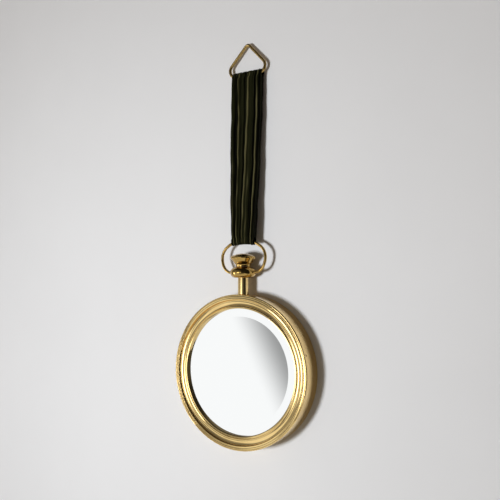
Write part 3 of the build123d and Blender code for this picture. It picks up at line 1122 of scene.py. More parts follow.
    def ridges(self, folds: Sequence[Fold], head: Array, across: Array) -> tuple[Array, Array]:
        """Distance from each fold, in its half widths, and each fold's height.

        Args:
            folds: The folds.
            head: Share of the way up the strap, one for each row.
            across: Share across the strap, one for each column.

        Returns:
            Distances, (folds, rows, columns), and heights, (folds, rows, 1).
        """
        values = self.parabola([[f.place, f.spread, f.height] for f in folds], head)
        place, spread, height = np.moveaxis(values, 1, 0)[..., None]
        return (across - place) / spread, height

    def fold_height(self, folds: Sequence[Fold], head: Array, across: Array) -> tuple[Array, Array]:
        """Height of the folds, each a round ridge.

        A ridge is its height times exp(-(distance over fold foot) to the fold power). Together they
        are the fourth root of the sum of their fourth powers.

        Args:
            folds: The folds.
            head: Share of the way up the strap, one for each row.
            across: Share across the strap, one for each column.

        Returns:
            Heights in millimetres and heights as a share of the tallest, each (rows, columns).
        """
        gap, height = self.ridges(folds, head, across)
        ridge = height * np.exp(-np.abs(gap / self.fold_foot) ** self.fold_power)
        tall = (ridge ** 4).sum(0) ** 0.25
        return tall, np.clip(tall / self.tallest, 0, 1)

    def crease_shade(self, head: Array, across: Array) -> Array:
        """Share of painted shade in the sharp creases beside the front folds.

        Args:
            head: Share of the way up the strap, one for each row.
            across: Share across the strap, one for each column.

        Returns:
            Shares, (rows, columns), the sum of depth times exp(-distance squared).
        """
        gap, depth = self.ridges(CREASES, head, across)
        return np.clip((depth * np.exp(-gap ** 2)).sum(0), 0, 1)

    def outline(self, head: Array, share: Array) -> Array:
        """Places across the strap: its taper, the gathering at its foot, and its full, wavy edges.

        Args:
            head: Share of the way up the strap, one for each row.
            share: Share across the strap, one for each column.

        Returns:
            Places in millimetres, (rows, columns).
        """
        foot = self.layout.strap_foot_width
        half = 0.5 * (foot + (self.head_width - foot) * head)
        close = np.clip(1 - head * self.layout.strap_span / self.gather_reach, 0, 1)
        half = half * (1 - self.gather * smooth(close))
        level = np.clip(head, 0, 1)
        left = self.parabola(self.left_fullness, level)[:, None] * (1 - share)
        right = self.parabola(self.right_fullness, level)[:, None] * share
        return half[:, None] * (2 * share - 1) + self.waves(self.edge_waves, head)[:, None] - left + right

    def relief(self, back: Array, held: Array, level: Array, share: Array) -> tuple[Array, Array]:
        """Height of folds, creases and gathers above the loop, and the painted light that goes with it: a
        highlight on folds and gathers, shade in creases.

        Args:
            back: Share of the way from the front run to the back run, one for each row.
            held: Share that each row is held by a wire.
            level: Share of the way up the strap, one for each row.
            share: Share across the strap, one for each column.

        Returns:
            Heights in millimetres and shares of painted light, each (rows, columns).
        """
        front_tall, front_fold = self.fold_height(FRONT_FOLDS, level, share)
        back_tall, back_fold = self.fold_height(BACK_FOLDS, level, share)
        crease = self.crease_shade(level, share)
        front_tall = np.maximum(front_tall - self.crease_depth * crease, 0.0)
        # Painted shade: the crease share is taken off the folds' highlight share.
        front_fold = np.clip(front_fold - crease, 0, 1)
        mix = back[:, None]
        gathers = held[:, None] * self.waves(self.pleats, share)
        tall = ((1 - mix) * front_tall + mix * back_tall) * (1 - self.held_calm * held[:, None])
        # Painted highlight and shade follow the gathers.
        fold = (1 - mix) * front_fold + mix * back_fold + self.pleat_light * gathers
        return tall + self.pleat_height * gathers, np.clip(fold, 0, 1)

    def cloth_shell(self) -> tuple[Shell, Array]:
        """The velvet's skin: out from the loop by the folds' height, its edges drawn in to close.

        A point is (place across, loop point + normal times height). Towards each edge the height
        falls by a rounded step to the middle of the strap, or to the hollow where a wire goes
        through. The inner skin lies one cloth thickness inside.

        Returns:
            The closed skin, and the share of painted light at each point: its fold height, less painted
            shade in creases and inside.
        """
        points, normal, back, held = self.loop(self.bar_radius, self.seat_radius)
        head = (points[:, 0] - self.layout.seat_rise) / self.layout.strap_span
        level = np.clip(head, 0, 1)
        even = np.linspace(0, 1, self.columns)
        share = even + self.edge_crowding * (0.5 - 0.5 * np.cos(np.pi * even) - even)
        tall, fold = self.relief(back, held, level, share)
        radius = self.seat_radius + (self.bar_radius - self.seat_radius) * level
        hollow = self.seat_hollow + (self.bar_hollow - self.seat_hollow) * level
        free_drop = radius - self.cloth - self.edge_gap
        wire_drop = radius - self.cloth - hollow - self.hollow_gap
        drop = free_drop + (wire_drop - free_drop) * held
        near = np.clip(np.minimum(share, 1 - share) / self.edge_share, 0, 1)
        closing = 1 - np.sqrt(np.clip(1 - (1 - near) ** 2, 0, 1))
        height = tall * (1 - closing) - drop[:, None] * closing
        u = self.outline(head, share)
        curve = self.seat_curve(points[:, 0], u)
        skins = []
        for inset in (0.0, self.cloth):
            v, w = (points[:, k, None] + normal[:, k, None] * (height - inset) for k in (0, 1))
            skins.append(self.layout.hang_axes.place(u * (1 - self.inner_inset * inset), v + curve, w))
        skin = np.concatenate([skins[0], skins[1][:, ::-1]], axis=1)
        # The inner skin keeps only part of the painted light, as painted shade.
        folds = np.concatenate([fold, fold[:, ::-1] * self.inner_shade], axis=1)
        run = np.linalg.norm(np.diff(np.vstack([points, points[:1]]), axis=0), axis=1)
        length = np.concatenate([[0.0], np.cumsum(run)]) * MM
        width = np.concatenate([share, share[::-1], share[:1]]) * self.flat_width
        uv = np.stack(np.broadcast_arrays(width[None], length[:, None]), axis=-1)
        return grid_shell(skin, close_rows=True, uv=uv), folds.ravel()

    def webbing_shell(self) -> Shell:
        """The band inside the velvet, a flat strip of two faces that runs the same way.

        Returns:
            The band's skin.
        """
        u = np.linspace(-self.webbing_half_width, self.webbing_half_width, self.webbing_columns)
        faces = []
        for bar_radius, seat_radius in zip(self.webbing_bar, self.webbing_seat):
            points, _, _, _ = self.loop(bar_radius, seat_radius)
            rows = np.broadcast_to(u, (len(points), len(u)))
            v = points[:, :1] + self.seat_curve(points[:, 0], rows)
            faces.append(self.layout.hang_axes.place(rows, v, points[:, 1:]))
        inner, outer = faces
        return grid_shell(np.concatenate([outer, inner[:, ::-1]], axis=1), close_rows=True)

    def build(self) -> None:
        shell, folds = self.cloth_shell()
        finish = self.velvet.build()
        velvet = add_piece("gathered_velvet", shell, Body.STRAP, finish, "velvet_strap")
        # The fold attribute holds the share of painted light that the velvet's colour follows.
        layer = velvet.data.attributes.new("fold", "FLOAT", "POINT")
        layer.data.foreach_set("value", folds.astype(np.float32))
        band, woven = self.webbing_shell(), self.webbing.build()
        add_piece(
            "webbing_band", band, Body.STRAP, woven, "core_webbing", self.webbing_sharp
        )


@dataclass
class Bow:
    """The oval wire bow: a crest, two sides and two flanks of tangent arcs, its tips turned in."""

    layout: Layout
    wire: float = 4.6
    flank_bend: float = 30.0
    tip_start: float = 21.1
    tip_end: float = 11.1
    crest_steps: int = 34
    flank_steps: int = 20
    foot_steps: int = 26
    tip_steps: int = 6
    sides: int = 32

    def path(self) -> Array:
        """Centreline from the left tip over the crest to the right tip.

        The flank turns until an arc tangent to it and to the pivot's line reaches the tip.

        Returns:
            Points of (across, along).
        """
        lay = self.layout
        run = self.flank_bend - lay.bow_half_width + self.tip_start
        turn = 90 - 2 * math.degrees(math.atan((self.flank_bend - lay.bow_shoulder) / run))
        foot = self.flank_bend - run / math.cos(math.radians(turn))
        side = (lay.bow_half_width - lay.bow_side_bend, lay.bow_shoulder)
        crest = (0.0, lay.bow_shoulder + lay.bow_crest - lay.crest_bend)
        flank = (lay.bow_half_width - self.flank_bend, lay.bow_shoulder)
        side_turn = math.degrees(math.atan2(side[1] - crest[1], side[0]))
        tip = np.linspace(self.tip_start, self.tip_end, self.tip_steps)
        arcs = [
            sampled_arc(crest, lay.crest_bend, 90, side_turn - 90, self.crest_steps),
            sampled_arc(side, lay.bow_side_bend, side_turn, -side_turn, self.crest_steps),
            sampled_arc(flank, self.flank_bend, 0, -turn, self.flank_steps),
            sampled_arc((self.tip_start, foot), foot, -turn, turn - 90, self.foot_steps),
        ]
        half = np.vstack([*arcs, np.column_stack([tip, np.zeros_like(tip)])])
        return np.vstack([(half[1:] * [-1, 1])[::-1], half])

    def build(self, brass: Material) -> None:
        """Makes the wire.

        Args:
            brass: The finish.
        """
        wire = bent_wire(self.path(), self.layout.hang_axes, self.wire / 2, self.sides, closed=False)
        add_piece("bow_wire", wire, Body.BOW, brass, "bow_ring")


@dataclass
class Pendant:
    """Collar, bushes, crown and neck tube above the case."""

    layout: Layout
    collar_radius: float = 20.6
    collar_height: float = 16.8
    collar_land: float = 4.0
    collar_steps: int = 60
    collar_sides: int = 320
    stud_bore: float = 3.2
    bush_face: float = 19.8
    bush_flange: float = 0.8
    bush_flange_radius: float = 4.1
    bush_radius: float = 3.2
    bush_bore: float = 2.36
    bush_depth: float = 9.0
    bush_sides: int = 64
    crown_base: float = 9.2
    crown_base_radius: float = 11.7
    crown_corner_radius: float = 12.0
    crown_corner_height: float = 3.2
    crown_corner_bend: float = 4.2
    crown_flare_height: float = 13.2
    crown_rim_radius: float = 20.3
    crown_rim: float = 0.8
    crown_dome: float = 7.0
    crown_dome_bend: float = 2.6
    dome_steps: tuple[int, int] = (24, 40)
    thread_radius: float = 3.0
    thread_depth: float = 13.0
    neck_radius: float = 8.4
    neck_wall: float = 1.4
    neck_steps: int = 24
    neck_sharp: float = 40.0
    sides: int = 192
    fibre: PlainFinish = PlainFinish(
        "red_fibre", (0.16, 0.075, 0.045), (0.09, 0.04, 0.025), Grain.FLECKED, 700.0, 0.6
    )

    def collar(self) -> Shell:
        """A bun: flat top and foot, a half-round rim, and a flat at each side for a bush.

        Returns:
            The collar's skin.
        """
        bend, bore = self.collar_height / 2, self.stud_bore
        flat = self.collar_radius - bend
        rim = sampled_arc((flat, 0.0), bend, -90, 180, self.collar_steps)
        top = [[flat, bend], [bore + self.collar_land, bend], [bore, bend]]
        outline = np.vstack([[[bore, -bend]], rim, top])
        shell = lathe(outline, self.layout.neck_axes, even_turn(self.collar_sides))
        shell.points[:, 0] = np.clip(shell.points[:, 0], -self.bush_face, self.bush_face)
        return shell

    def bushes(self) -> Shell:
        """Two flanged tubes on the bow's pivot axis, one facing each way.

        Returns:
            The bushes' skin.
        """
        corners = [
            [self.bush_bore, -self.bush_depth, 0.1],
            [self.bush_radius, -self.bush_depth, 0.1],
            [self.bush_radius, 0.0, 0.05],
            [self.bush_flange_radius, 0.0, 0.05],
            [self.bush_flange_radius, self.bush_flange, 0.3],
            [self.bush_bore, self.bush_flange, 0.25],
        ]
        outline = rounded_outline(np.array(corners), closed=True)
        _, y, z = self.layout.pivot
        right = Axes((self.bush_face, y, z), (0, 1, 0), (0, 0, 1), (1, 0, 0))
        left = Axes((-self.bush_face, y, z), (0, 0, 1), (0, 1, 0), (-1, 0, 0))
        return join_shells([lathe(outline, axes, even_turn(self.bush_sides)) for axes in (right, left)])

    def crown(self) -> Shell:
        """A short foot and a wide flare under a thin rim, and a dome of two tangent arcs over it.

        Returns:
            The crown's skin.
        """
        base, rim = self.crown_base, self.crown_base + self.crown_flare_height
        top = rim + self.crown_rim
        side = self.crown_rim_radius - self.crown_dome_bend
        spare = self.crown_dome - self.crown_dome_bend
        top_bend = (side ** 2 + self.crown_dome ** 2 - self.crown_dome_bend ** 2) / (2 * spare)
        turn = math.degrees(math.atan2(top_bend - self.crown_dome, side))
        middle = (0.0, top + self.crown_dome - top_bend)
        edge_steps, top_steps = self.dome_steps
        foot = [
            [0.0, base + self.thread_depth, 0.0],
            [self.thread_radius, base + self.thread_depth, 0.1],
            [self.thread_radius, base, 0.1],
            [self.crown_base_radius, base, 0.25],
            [self.crown_corner_radius, base + self.crown_corner_height, self.crown_corner_bend],
            [self.crown_rim_radius, rim, 0.22],
            [self.crown_rim_radius, top, 0.0],
        ]
        edge = plain(sampled_arc((side, top), self.crown_dome_bend, 0, turn, edge_steps)[1:])
        dome = plain(sampled_arc(middle, top_bend, turn, 90 - turn, top_steps))
        corners = np.vstack([foot, edge, dome, [[0.0, top + self.crown_dome, 0.0]]])
        return lathe(rounded_outline(corners, closed=False), self.layout.neck_axes, even_turn(self.sides))

    def neck_tube(self) -> Shell:
        """A tube whose foot follows the round of the case: its lowest z is the case's height at x.

        Returns:
            The tube's skin.
        """
        lay, angles = self.layout, even_turn(self.sides)
        walls = (self.neck_radius, self.neck_radius - self.neck_wall)
        up = np.linspace(0, 1, self.neck_steps)
        radius = np.repeat(walls, self.neck_steps)[:, None]
        share = np.concatenate([up, up[::-1]])[:, None]
        x = radius * np.cos(angles)
        foot = lay.mirror[2] - lay.pivot[2] + np.sqrt(lay.case_radius ** 2 - x ** 2)
        z = foot + (-self.collar_height / 2 - foot) * share
        return grid_shell(lay.neck_axes.place(x, radius * np.sin(angles), z), close_rows=True)

    def build(self, bright: Material, aged: Material) -> None:
        """Makes the turned pieces and dresses the washer between crown and collar.

        Args:
            bright: The finish of tube and bushes.
            aged: The finish of collar and crown.
        """
        pieces = (
            ("bun_collar", self.collar(), "collar", aged, None),
            ("bow_bush_pair", self.bushes(), "bow_bushes", bright, None),
            ("flared_crown", self.crown(), "crown", aged, None),
            ("neck_tube", self.neck_tube(), "pendant_tube", bright, self.neck_sharp),
        )
        for name, shell, node, brass, sharp in pieces:
            add_piece(name, shell, Body.CASE, brass, node, sharp)
        dress_node("crown_washer", self.fibre.build())


@dataclass
class Case:
    """The drum, the bezel and its screws. Corners are (radius, distance from the wall, rounding)."""

    layout: Layout
    depth: float = 34.6
    sheet: float = 1.2
    edge_round: float = 2.6
    rim: float = 9.0
    recess: float = 1.6
    wall_rows: Pair = (12.0, 20.0)
    lip: tuple[Triple, ...] = (
        (97.9, 29.46, 0.1), (97.9, 33.9, 0.6), (98.7, 35.0, 0.6),
        (100.2, 35.35, 0.6), (100.9, 35.3, 0.5), (102.15, 34.5, 0.12),
    )
    cove_start: float = 102.6
    cove_end: float = 110.4
    cove_middle: float = 106.0
    cove_floor: float = 34.5
    cove_bend: float = 13.5
    cove_steps: int = 25
    crest: tuple[Triple, ...] = ((111.1, 35.45, 0.45), (111.8, 34.8, 0.1))
    reeds: tuple[Triple, ...] = (
        (112.0, 38.3, 0.25), (112.7, 38.7, 0.8), (114.2, 38.65, 0.8), (114.85, 38.25, 0.08),
        (115.5, 38.55, 0.6), (116.9, 38.45, 0.6), (117.6, 38.0, 0.08),
        (118.3, 38.25, 0.6), (119.3, 37.95, 0.6), (120.0, 37.1, 0.5),
    )
    spigot: tuple[Triple, ...] = (
        (120.0, 34.6, 0.15), (118.3, 34.6, 0.1), (118.3, 27.6, 0.3), (115.3, 27.6, 0.3),
        (115.3, 31.8, 0.3),
    )
    barrel: tuple[Triple, ...] = (
        (104.8, 31.8, 0.3), (104.8, 17.4, 0.3), (101.4, 17.4, 0.3), (101.4, 19.4, 0.1),
        (102.6, 19.4, 0.1), (102.6, 21.0, 0.1), (101.4, 21.0, 0.1), (101.4, 29.17, 0.1),
    )
    hole_radius: float = 1.6
    hole_depth: float = 31.7
    hole_patch: float = 2.6
    hole_clear: float = 1.3
    hole_angles: Triple = (14.8, 134.8, 254.8)
    patch_cells: int = 16
    sides: int = 320
    sharp: float = 50.0
    screws: PlainFinish = PlainFinish(
        "blued_steel", (0.10, 0.09, 0.08), (0.04, 0.035, 0.03), Grain.BRUSHED, 900.0, 0.34, 1.0
    )

    def bezel(self) -> Shell:
        """The turned ring: a lip, a shallow cove, a crest and three raised reeds outside.

        The cove's height is its floor + bend - sqrt(bend squared - distance from its middle squared).

        Returns:
            The ring's skin, spigot and barrel included.
        """
        radius = np.linspace(self.cove_start, self.cove_end, self.cove_steps)
        rise = self.cove_bend - np.sqrt(self.cove_bend ** 2 - (radius - self.cove_middle) ** 2)
        cove = plain(np.column_stack([radius, self.cove_floor + rise]))
        corners = np.vstack([self.lip, cove, self.crest, self.reeds, self.spigot, self.barrel])
        return lathe(rounded_outline(corners, closed=True), self.layout.case_axes, even_turn(self.sides))

    def drum_outline(self) -> Array:
        """Section of the drum from the back plate's middle outside, round the wall, to inside.

        Returns:
            Points of (radius, distance from the wall).
        """
        wall, bore = self.layout.case_radius, self.layout.case_radius - self.sheet
        foot, recess, low, high = wall - self.rim, self.recess, *self.wall_rows
        patch = self.hole_depth + np.linspace(-self.hole_patch, self.hole_patch, self.patch_cells + 1)
        corners = [
            [[0.0, recess, 0.0], [foot - recess, recess, 0.8], [foot, 0.0, 1.0]],
            [[wall, 0.0, self.edge_round], [wall, low, 0.0], [wall, high, 0.0]],
            plain(np.column_stack([np.full_like(patch, wall), patch])),
            [[wall, self.depth, 0.12], [bore, self.depth, 0.1]],
            plain(np.column_stack([np.full_like(patch, bore), patch[::-1]])),
            [[bore, self.sheet, self.edge_round - self.sheet], [foot, self.sheet, 0.5]],
            [[foot - recess, recess + self.sheet, 0.5], [0.0, recess + self.sheet, 0.0]],
        ]
        return rounded_outline(np.vstack(corners), closed=False)

    def drum_angles(self) -> Array:
        """Angles of the drum's grid: even steps, and finer ones across each screw hole.

        Returns:
            Angles in radians, in order.
        """
        span = self.hole_patch / self.layout.case_radius
        even, centres = even_turn(self.sides), np.radians(self.hole_angles)
        apart = np.abs((even[:, None] - centres[None] + np.pi) % (2 * np.pi) - np.pi)
        patch = (centres[:, None] + np.linspace(-span, span, self.patch_cells + 1)).ravel()
        clear = (apart > self.hole_clear * span).all(1)
        return np.sort(np.concatenate([even[clear], patch % (2 * np.pi)]))

    def hole_grid(self) -> Array:
        """Places of the points round a screw hole.

        A point at square distance k from the hole's middle, as a share of the patch, goes from the
        hole's circle at k = 1/2 to the patch's edge at k = 1.

        Returns:
            Distances along the axis and round the wall, (2, cells + 1, cells + 1).
        """
        grid = np.linspace(-1, 1, self.patch_cells + 1)
        square = np.stack(np.meshgrid(grid, grid, indexing="ij"))
        far = np.abs(square).max(0)
        facing = np.arctan2(*square)
        to_edge = square / np.maximum(far, 1e-6) * self.hole_patch
        to_hole = np.stack([np.sin(facing), np.cos(facing)]) * self.hole_radius
        return to_hole + (to_edge - to_hole) * np.clip((far - 0.5) / 0.5, 0, 1)

    def drum(self) -> Shell:
        """The drum with its screw holes.

        The wall's grid has a square patch at each hole, whose inner faces are left out. A ring of
        faces joins the hole's edge on the outside to the one on the inside.

        Returns:
            The drum's skin.
        """
        wall, axes = self.layout.case_radius, self.layout.case_axes
        angles, outline, shift = self.drum_angles(), self.drum_outline(), self.hole_grid()
        shell = lathe(outline, axes, angles)
        body = outline[1:-1]
        steps = np.arange(self.patch_cells + 1)
        low, high = self.patch_cells // 4, 3 * (self.patch_cells // 4)
        there, back = np.arange(low, high), np.arange(high, low, -1)
        keep = np.ones(len(shell.quads), dtype=bool)
        rings = []
        for centre in np.radians(self.hole_angles):
            first_col = int(np.argmin(np.abs(angles - (centre - self.hole_patch / wall) % (2 * np.pi))))
            angle = centre + shift[1] / wall
            edges = []
            for radius, sign in ((wall, 1), (wall - self.sheet, -1)):
                start = self.hole_depth - sign * self.hole_patch
                first_row = int(np.argmin(np.abs(body[:, 0] - radius) + np.abs(body[:, 1] - start)))
                index = (first_row + steps)[:, None] * len(angles) + first_col + steps
                depth = self.hole_depth + sign * shift[0]
                shell.points[index] = axes.place(radius * np.cos(angle), radius * np.sin(angle), depth)
                keep[index[low:high, low:high]] = False
                index = index[::sign]
                sides = [index[low, there], index[there, high], index[high, back], index[back, low]]
                edges.append(np.concatenate(sides))
            outer, inner = edges
            rings.append(np.stack([inner, np.roll(inner, -1), np.roll(outer, -1), outer], axis=1))
        shell.quads = np.vstack([shell.quads[keep], *rings])
        return shell

    def build(self, brass: Material) -> None:
        """Makes drum and bezel, and dresses the screws.

        Args:
            brass: The finish.
        """
        add_piece("spun_drum", self.drum(), Body.CASE, brass, "case_drum", self.sharp)
        add_piece("turned_bezel", self.bezel(), Body.CASE, brass, "bezel", self.sharp)
        dress_node("bezel_screws", self.screws.build())


@dataclass
class Glazing:
    """The bevelled glass, the felt, board and ring behind it, and the steel inside the case."""

    layout: Layout
    radius: float = 101.0
    face: float = 30.5
    thickness: float = 5.0
    bevel_radius: float = 85.2
    bevel_drop: float = 1.3
    bevel_lean: float = 2.3
    front_share: float = 0.9
    sharp: float = 3.0
    sides: int = 256
    glass: SilveredGlass = SilveredGlass()
    felt: PlainFinish = PlainFinish(
        "grey_felt", (0.22, 0.22, 0.20), (0.12, 0.12, 0.11), Grain.FLECKED, 1500.0, 0.95
    )
    board: PlainFinish = PlainFinish(
        "hardboard", (0.42, 0.29, 0.17), (0.28, 0.18, 0.10), Grain.FLECKED, 420.0, 0.8
    )
    steel: PlainFinish = PlainFinish(
        "plain_steel", (0.66, 0.66, 0.64), (0.46, 0.46, 0.45), Grain.BRUSHED, 600.0, 0.32, 1.0
    )

    def glass_shell(self) -> Shell:
        """A disc with a flat face, a sloping bevel round it, and a ground edge.

        Returns:
            The disc's skin.
        """
        back, edge = self.face - self.thickness, self.face - self.bevel_drop
        corners = [
            [0.0, back, 0.0],
            [self.radius, back, 0.3],
            [self.radius, edge, 0.3],
            [self.bevel_radius, self.face, 0.25],
            [0.0, self.face, 0.0],
        ]
        outline = rounded_outline(np.array(corners), closed=False)
        return lathe(outline, self.layout.case_axes, even_turn(self.sides))

    @staticmethod
    def fetched(items: Any, name: str, width: int, kind: type = np.float32) -> Array:
        """One property of all a mesh's items.

        Args:
            items: The mesh's points, corners or faces.
            name: The property.
            width: Number of values that each item has.
            kind: Their type.

        Returns:
            Values of shape (items, width).
        """
        values = np.zeros(len(items) * width, dtype=kind)
        items.foreach_get(name, values)
        return values.reshape(-1, width)

    def lean_bevel(self, glass: Object) -> None:
        """Turns the bevel's shading inwards, because the silver lies behind the glass.

        A prism of glass over a flat mirror turns light as a bare mirror does that leans towards the
        middle by the bevel's slope times the refractive index less one. A bevel corner's normal is
        the cosine of that lean towards the front, less its sine along the radius.

        Args:
            glass: The mirror.
        """
        mesh = glass.data
        axis = np.array([0.0, 0.0, self.layout.mirror[2]]) * MM
        corners = self.fetched(mesh.loops, "vertex_index", 1, np.int32)[:, 0]
        normals = self.fetched(mesh.corner_normals, "vector", 3)
        sizes = self.fetched(mesh.polygons, "loop_total", 1, np.int32)[:, 0]
        middles = self.fetched(mesh.polygons, "center", 3) - axis
        front = self.fetched(mesh.polygons, "normal", 3)[:, 1] < -self.front_share
        outside = np.hypot(middles[:, 0], middles[:, 2]) > self.bevel_radius * MM
        on_bevel = np.repeat(front & outside, sizes)[:, None]
        radial = (self.fetched(mesh.vertices, "co", 3) - axis)[corners] * [1.0, 0.0, 1.0]
        radial /= np.maximum(np.linalg.norm(radial, axis=1), TINY)[:, None]
        lean = math.radians(self.bevel_lean)
        leaning = np.array([0.0, -math.cos(lean), 0.0]) - math.sin(lean) * radial
        mesh.normals_split_custom_set(np.where(on_bevel, leaning, normals))

    def build(self, effects: Effects, brass: Material) -> None:
        """Makes the glass and dresses what is behind it and inside the case.

        Args:
            effects: The shared effects.
            brass: Finish of the saddle inside the case.
        """
        shell, silver = self.glass_shell(), self.glass.build(effects, self.layout)
        glass = add_piece(
            "bevelled_mirror", shell, Body.CASE, silver, "mirror_glass", self.sharp
        )
        self.lean_bevel(glass)
        steel = self.steel.build()
        for node in ("retaining_ring", "pendant_stud", "pendant_washer", "pendant_nut"):
            dress_node(node, steel)
        dress_node("felt_pad", self.felt.build())
        dress_node("backing_board", self.board.build())
        dress_node("pendant_saddle", brass)


@dataclass(frozen=True)
class Card:
    """A soft pale area of the room that polished metal and the mirror show.

    Azimuth is the angle from straight ahead of the wall towards +X, elevation is above level, both
    in degrees. The sides lean by slant degrees of azimuth for each degree of elevation.
    """

    azimuth: Pair
    elevation: Pair
    soft: Pair
    strength: float
    slant: float = 0.0

    def mask(self, g: Graph, azimuth: Socket, elevation: Socket) -> Socket:
        """Share of the area in a direction: the product of a soft step at each of its four edges.

        Args:
            g: The room's graph.
            azimuth: The direction's azimuth.
            elevation: Its elevation.

        Returns:
            The share's value.
        """
        turned = g.math("SUBTRACT", azimuth, g.times(elevation, self.slant))
        steps = []
        ranges = (self.azimuth, self.elevation)
        for value, (low, high), soft in zip((turned, elevation), ranges, self.soft):
            rising = g.ramp(value, low - soft, low + soft)
            steps.append(g.times(rising, g.ramp(value, high - soft, high + soft, 1.0, 0.0)))
        return g.times(*steps)


@dataclass(frozen=True)
class Lamp:
    """A soft round lamp: its place in metres, width, power and colour."""

    name: str
    place: Triple
    size: float
    watts: float
    colour: Colour = (1.0, 1.0, 1.0)


@dataclass
class Studio:
    """Camera, wall, floor, lamps and the room round them."""

    layout: Layout
    camera_place: Triple = (0.56636, -0.91911, -0.39739)
    camera_pitch: float = 3.466
    camera_turn: float = 31.457
    focal_share: float = 675.52 / 500.0
    sensor: float = 36.0
    nearest: float = 0.01
    wall_hole: float = 112.0
    wall_rings: Pair = (60.0, 400.0)
    wall_middle: float = 0.5
    wall_reach: float = 4500.0
    wall_gap: float = 0.05
    wall_sides: int = 96
    patch_near: float = 0.012
    paint: Colour = (0.83, 0.83, 0.83)
    floor_drop: float = -2.2
    floor_reach: float = 3.0
    floor_lit: float = 0.85
    aim: Triple = (0.0, 0.0, -0.42)
    key: Lamp = Lamp("key", (-0.345, -1.52, -0.60), 0.30, 18.8, (0.97, 1.0, 1.04))
    back: Lamp = Lamp("back", (-0.9, 1.3, 0.2), 1.0, 9.0)
    ambient: float = 0.30
    ambient_far: float = 0.08
    ambient_colour: Colour = (1.0, 0.84, 0.68)
    backdrop: float = 0.86
    room: float = 0.025
    cards: tuple[Card, ...] = (
        Card((-41.0, -32.45), (-22.0, 9.0), (1.8, 7.0), 0.67, -0.44),
        Card((-67.0, -51.0), (-28.0, -4.0), (3.0, 5.0), 4.5),
        Card((-110.0, -24.0), (-42.0, 12.0), (4.0, 6.0), 0.31),
        Card((-22.0, 12.0), (-20.0, 8.0), (2.0, 4.0), 0.9),
        Card((-19.0, -12.0), (-13.0, 0.0), (2.5, 3.0), 8.0),
        Card((-90.0, -5.0), (-40.0, -25.0), (10.0, 4.0), 0.5),
        Card((-72.0, -56.0), (-66.0, -50.0), (5.0, 4.0), 1.2),
        Card((-120.0, 5.0), (14.0, 42.0), (15.0, 10.0), 0.16),
        Card((20.0, 48.0), (-24.0, 8.0), (6.0, 6.0), 0.05),
        Card((125.0, 170.0), (-30.0, 40.0), (12.0, 12.0), 0.55),
        Card((-172.0, -135.0), (-20.0, 50.0), (12.0, 12.0), 0.25),
    )

    def camera(self) -> None:
        """Stands the camera where the photograph was taken from."""
        data = bpy.data.cameras.new("view")
        data.sensor_width = self.sensor
        data.lens = self.focal_share * self.sensor
        data.clip_start = self.nearest
        view = bpy.data.objects.new("view", data)
        view.location = self.camera_place
        view.rotation_euler = (math.radians(90 + self.camera_pitch), 0.0, math.radians(self.camera_turn))
        bpy.context.scene.collection.objects.link(view)
        bpy.context.scene.camera = view

    def _pale(self, name: str, lit: float = 0.0, near: float = 0.0) -> Material:
        """A matt pale finish seen from its front only, faintly uneven.

        Args:
            name: The material's name.
            lit: Share of its colour that shows without any lamp.
            near: Length in metres up to which a ray goes through it.

        Returns:
            The material.
        """
        material, g, shader = new_material(name)
        tone = g.ramp(g.noise(g.place(), 2.5, 4.0, 0.6), 0.3, 0.7, 0.975, 1.0)
        shades = {k: g.times(tone, c) for k, c in enumerate(self.paint)}
        grey = g.add("ShaderNodeCombineColor", shades).outputs[0]
        g.feed(shader, {"Base Color": grey, "Roughness": 0.9, "Specular IOR Level": 0.1})
        path = g.add("ShaderNodeLightPath").outputs
        shown = g.times(g.math("MAXIMUM", path["Is Camera Ray"], path["Is Glossy Ray"]), lit)
        glow = g.add("ShaderNodeEmission", {"Color": grey}).outputs[0]
        front = g.add("ShaderNodeMixShader", {0: shown, 1: shader.outputs[0], 2: glow}).outputs[0]
        behind = g.add("ShaderNodeNewGeometry").outputs["Backfacing"]
        clear = g.add("ShaderNodeBsdfTransparent").outputs[0]
        through = g.math("MAXIMUM", behind, g.math("LESS_THAN", path["Ray Length"], near))
        final = g.add("ShaderNodeMixShader", {0: through, 1: front, 2: clear}).outputs[0]
        sink = next(n for n in g.tree.nodes if n.type == "OUTPUT_MATERIAL")
        g.feed(sink, {"Surface": final})
        return material

    def wall(self) -> None:
        """A pale wall behind the mirror, and a patch of it that lets light reach the case's back."""
        angles = even_turn(self.wall_sides)
        inner, outer = self.wall_rings
        whole, patch = self._pale("wall_paint"), self._pale("patch_paint", near=self.patch_near)
        rings = (
            ("wall", whole, (self.wall_hole, outer, self.wall_reach)),
            ("wall_patch", patch, (self.wall_middle, inner, self.wall_hole)),
        )
        for name, paint, reach in rings:
            radius = np.array(reach)[:, None]
            x, y = radius * np.cos(angles), radius * np.sin(angles)
            shell = grid_shell(self.layout.case_axes.place(x, y, np.full_like(x, -self.wall_gap)))
            shell.quads = shell.quads[:, ::-1]
            obj = add_mesh(name, shell, closed=False)
            obj.data.materials.append(paint)

    def floor(self) -> None:
        """A pale floor far below."""
        mesh = bpy.data.meshes.new("floor")
        reach, low = self.floor_reach, self.floor_drop
        corners = [(-reach, -reach, low), (reach, -reach, low), (reach, reach, low), (-reach, reach, low)]
        mesh.from_pydata(corners, [], [(0, 1, 2, 3)])
        obj = bpy.data.objects.new("floor", mesh)
        bpy.context.scene.collection.objects.link(obj)
        mesh.materials.append(self._pale("floor_paint", self.floor_lit))

    def lamps(self) -> None:
        """A soft key light in front, low and to the left, and a weak one behind the wall for the back."""
        for lamp in (self.key, self.back):
            data = bpy.data.lights.new(lamp.name, "AREA")
            data.shape = "DISK"
            data.size = lamp.size
            data.energy = lamp.watts
            data.color = lamp.colour
            obj = bpy.data.objects.new(lamp.name, data)
            obj.location = lamp.place
            x, y, z = np.asarray(lamp.place) - np.asarray(self.aim)
            pitch = math.pi / 2 - math.atan2(z, math.hypot(x, y))
            obj.rotation_euler = (pitch, 0.0, math.atan2(x, -y))
            obj.visible_camera = False
            obj.visible_glossy = False
            bpy.context.scene.collection.objects.link(obj)

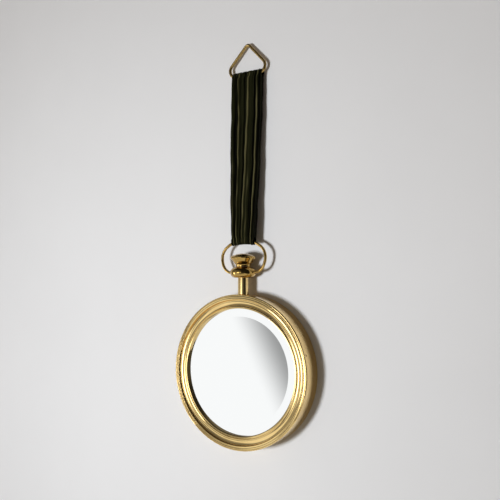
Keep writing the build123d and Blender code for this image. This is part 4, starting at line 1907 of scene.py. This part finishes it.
    def world(self) -> None:
        """The room: pale to the camera, dim to matt surfaces, dark with pale areas to polished ones."""
        world = bpy.data.worlds.new("room")
        bpy.context.scene.world = world
        world.use_nodes = True
        world.cycles.sampling_method = "NONE"
        g = Graph(world.node_tree)
        shader = next(n for n in world.node_tree.nodes if n.type == "BACKGROUND")
        way = g.add("ShaderNodeTexCoord").outputs["Generated"]
        x, y, z = g.add("ShaderNodeSeparateXYZ", {0: way}).outputs
        degrees = 180.0 / math.pi
        azimuth = g.times(g.math("ARCTAN2", x, g.times(y, -1.0)), degrees)
        elevation = g.times(g.math("ARCSINE", z), degrees)
        seen: Any = self.room
        for card in self.cards:
            seen = g.plus(seen, g.times(card.mask(g, azimuth, elevation), card.strength))
        path = g.add("ShaderNodeLightPath").outputs
        camera, glossy = path["Is Camera Ray"], path["Is Glossy Ray"]
        soft = g.ramp(x, -1.0, 1.0, self.ambient, self.ambient_far)
        level = g.add("ShaderNodeMix", {0: glossy, 2: soft, 3: seen}).outputs[0]
        level = g.add("ShaderNodeMix", {0: camera, 2: level, 3: self.backdrop}).outputs[0]
        tint = g.blend(g.math("MAXIMUM", camera, glossy), self.ambient_colour, (1.0, 1.0, 1.0))
        g.feed(shader, {"Strength": level, "Color": tint})

    def build(self) -> None:
        """Sets the whole studio up."""
        bpy.context.scene.view_settings.view_transform = "Standard"
        self.camera()
        self.wall()
        self.floor()
        self.lamps()
        self.world()


def main() -> None:
    """Builds the studio and each sub-assembly in order."""
    logging.basicConfig(level=logging.INFO, format="%(name)s: %(message)s")
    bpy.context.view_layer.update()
    layout = Layout()
    Studio(layout).build()
    effects = Effects()
    pivot = layout.pivot
    finishes = (
        TurnedBrass("case_brass", layout.mirror, FACING, smooth=0.06, dull=0.17, tarnish=0.25),
        TurnedBrass("neck_brass", pivot, UPRIGHT, smooth=0.05, dull=0.14),
        TurnedBrass("crown_brass", pivot, UPRIGHT, (0.56, 0.37, 0.115), (0.26, 0.15, 0.04), 0.07, 0.20),
        TurnedBrass("bow_brass", pivot, UPRIGHT, (0.60, 0.40, 0.13), (0.28, 0.17, 0.05), 0.08, 0.22),
    )
    case_brass, neck_brass, crown_brass, bow_brass = (finish.build(effects) for finish in finishes)
    Hanger(layout).build()
    Strap(layout).build()
    Bow(layout).build(bow_brass)
    Pendant(layout).build(neck_brass, crown_brass)
    Case(layout).build(case_brass)
    Glazing(layout).build(effects, case_brass)


if __name__ == "__main__":
    main()
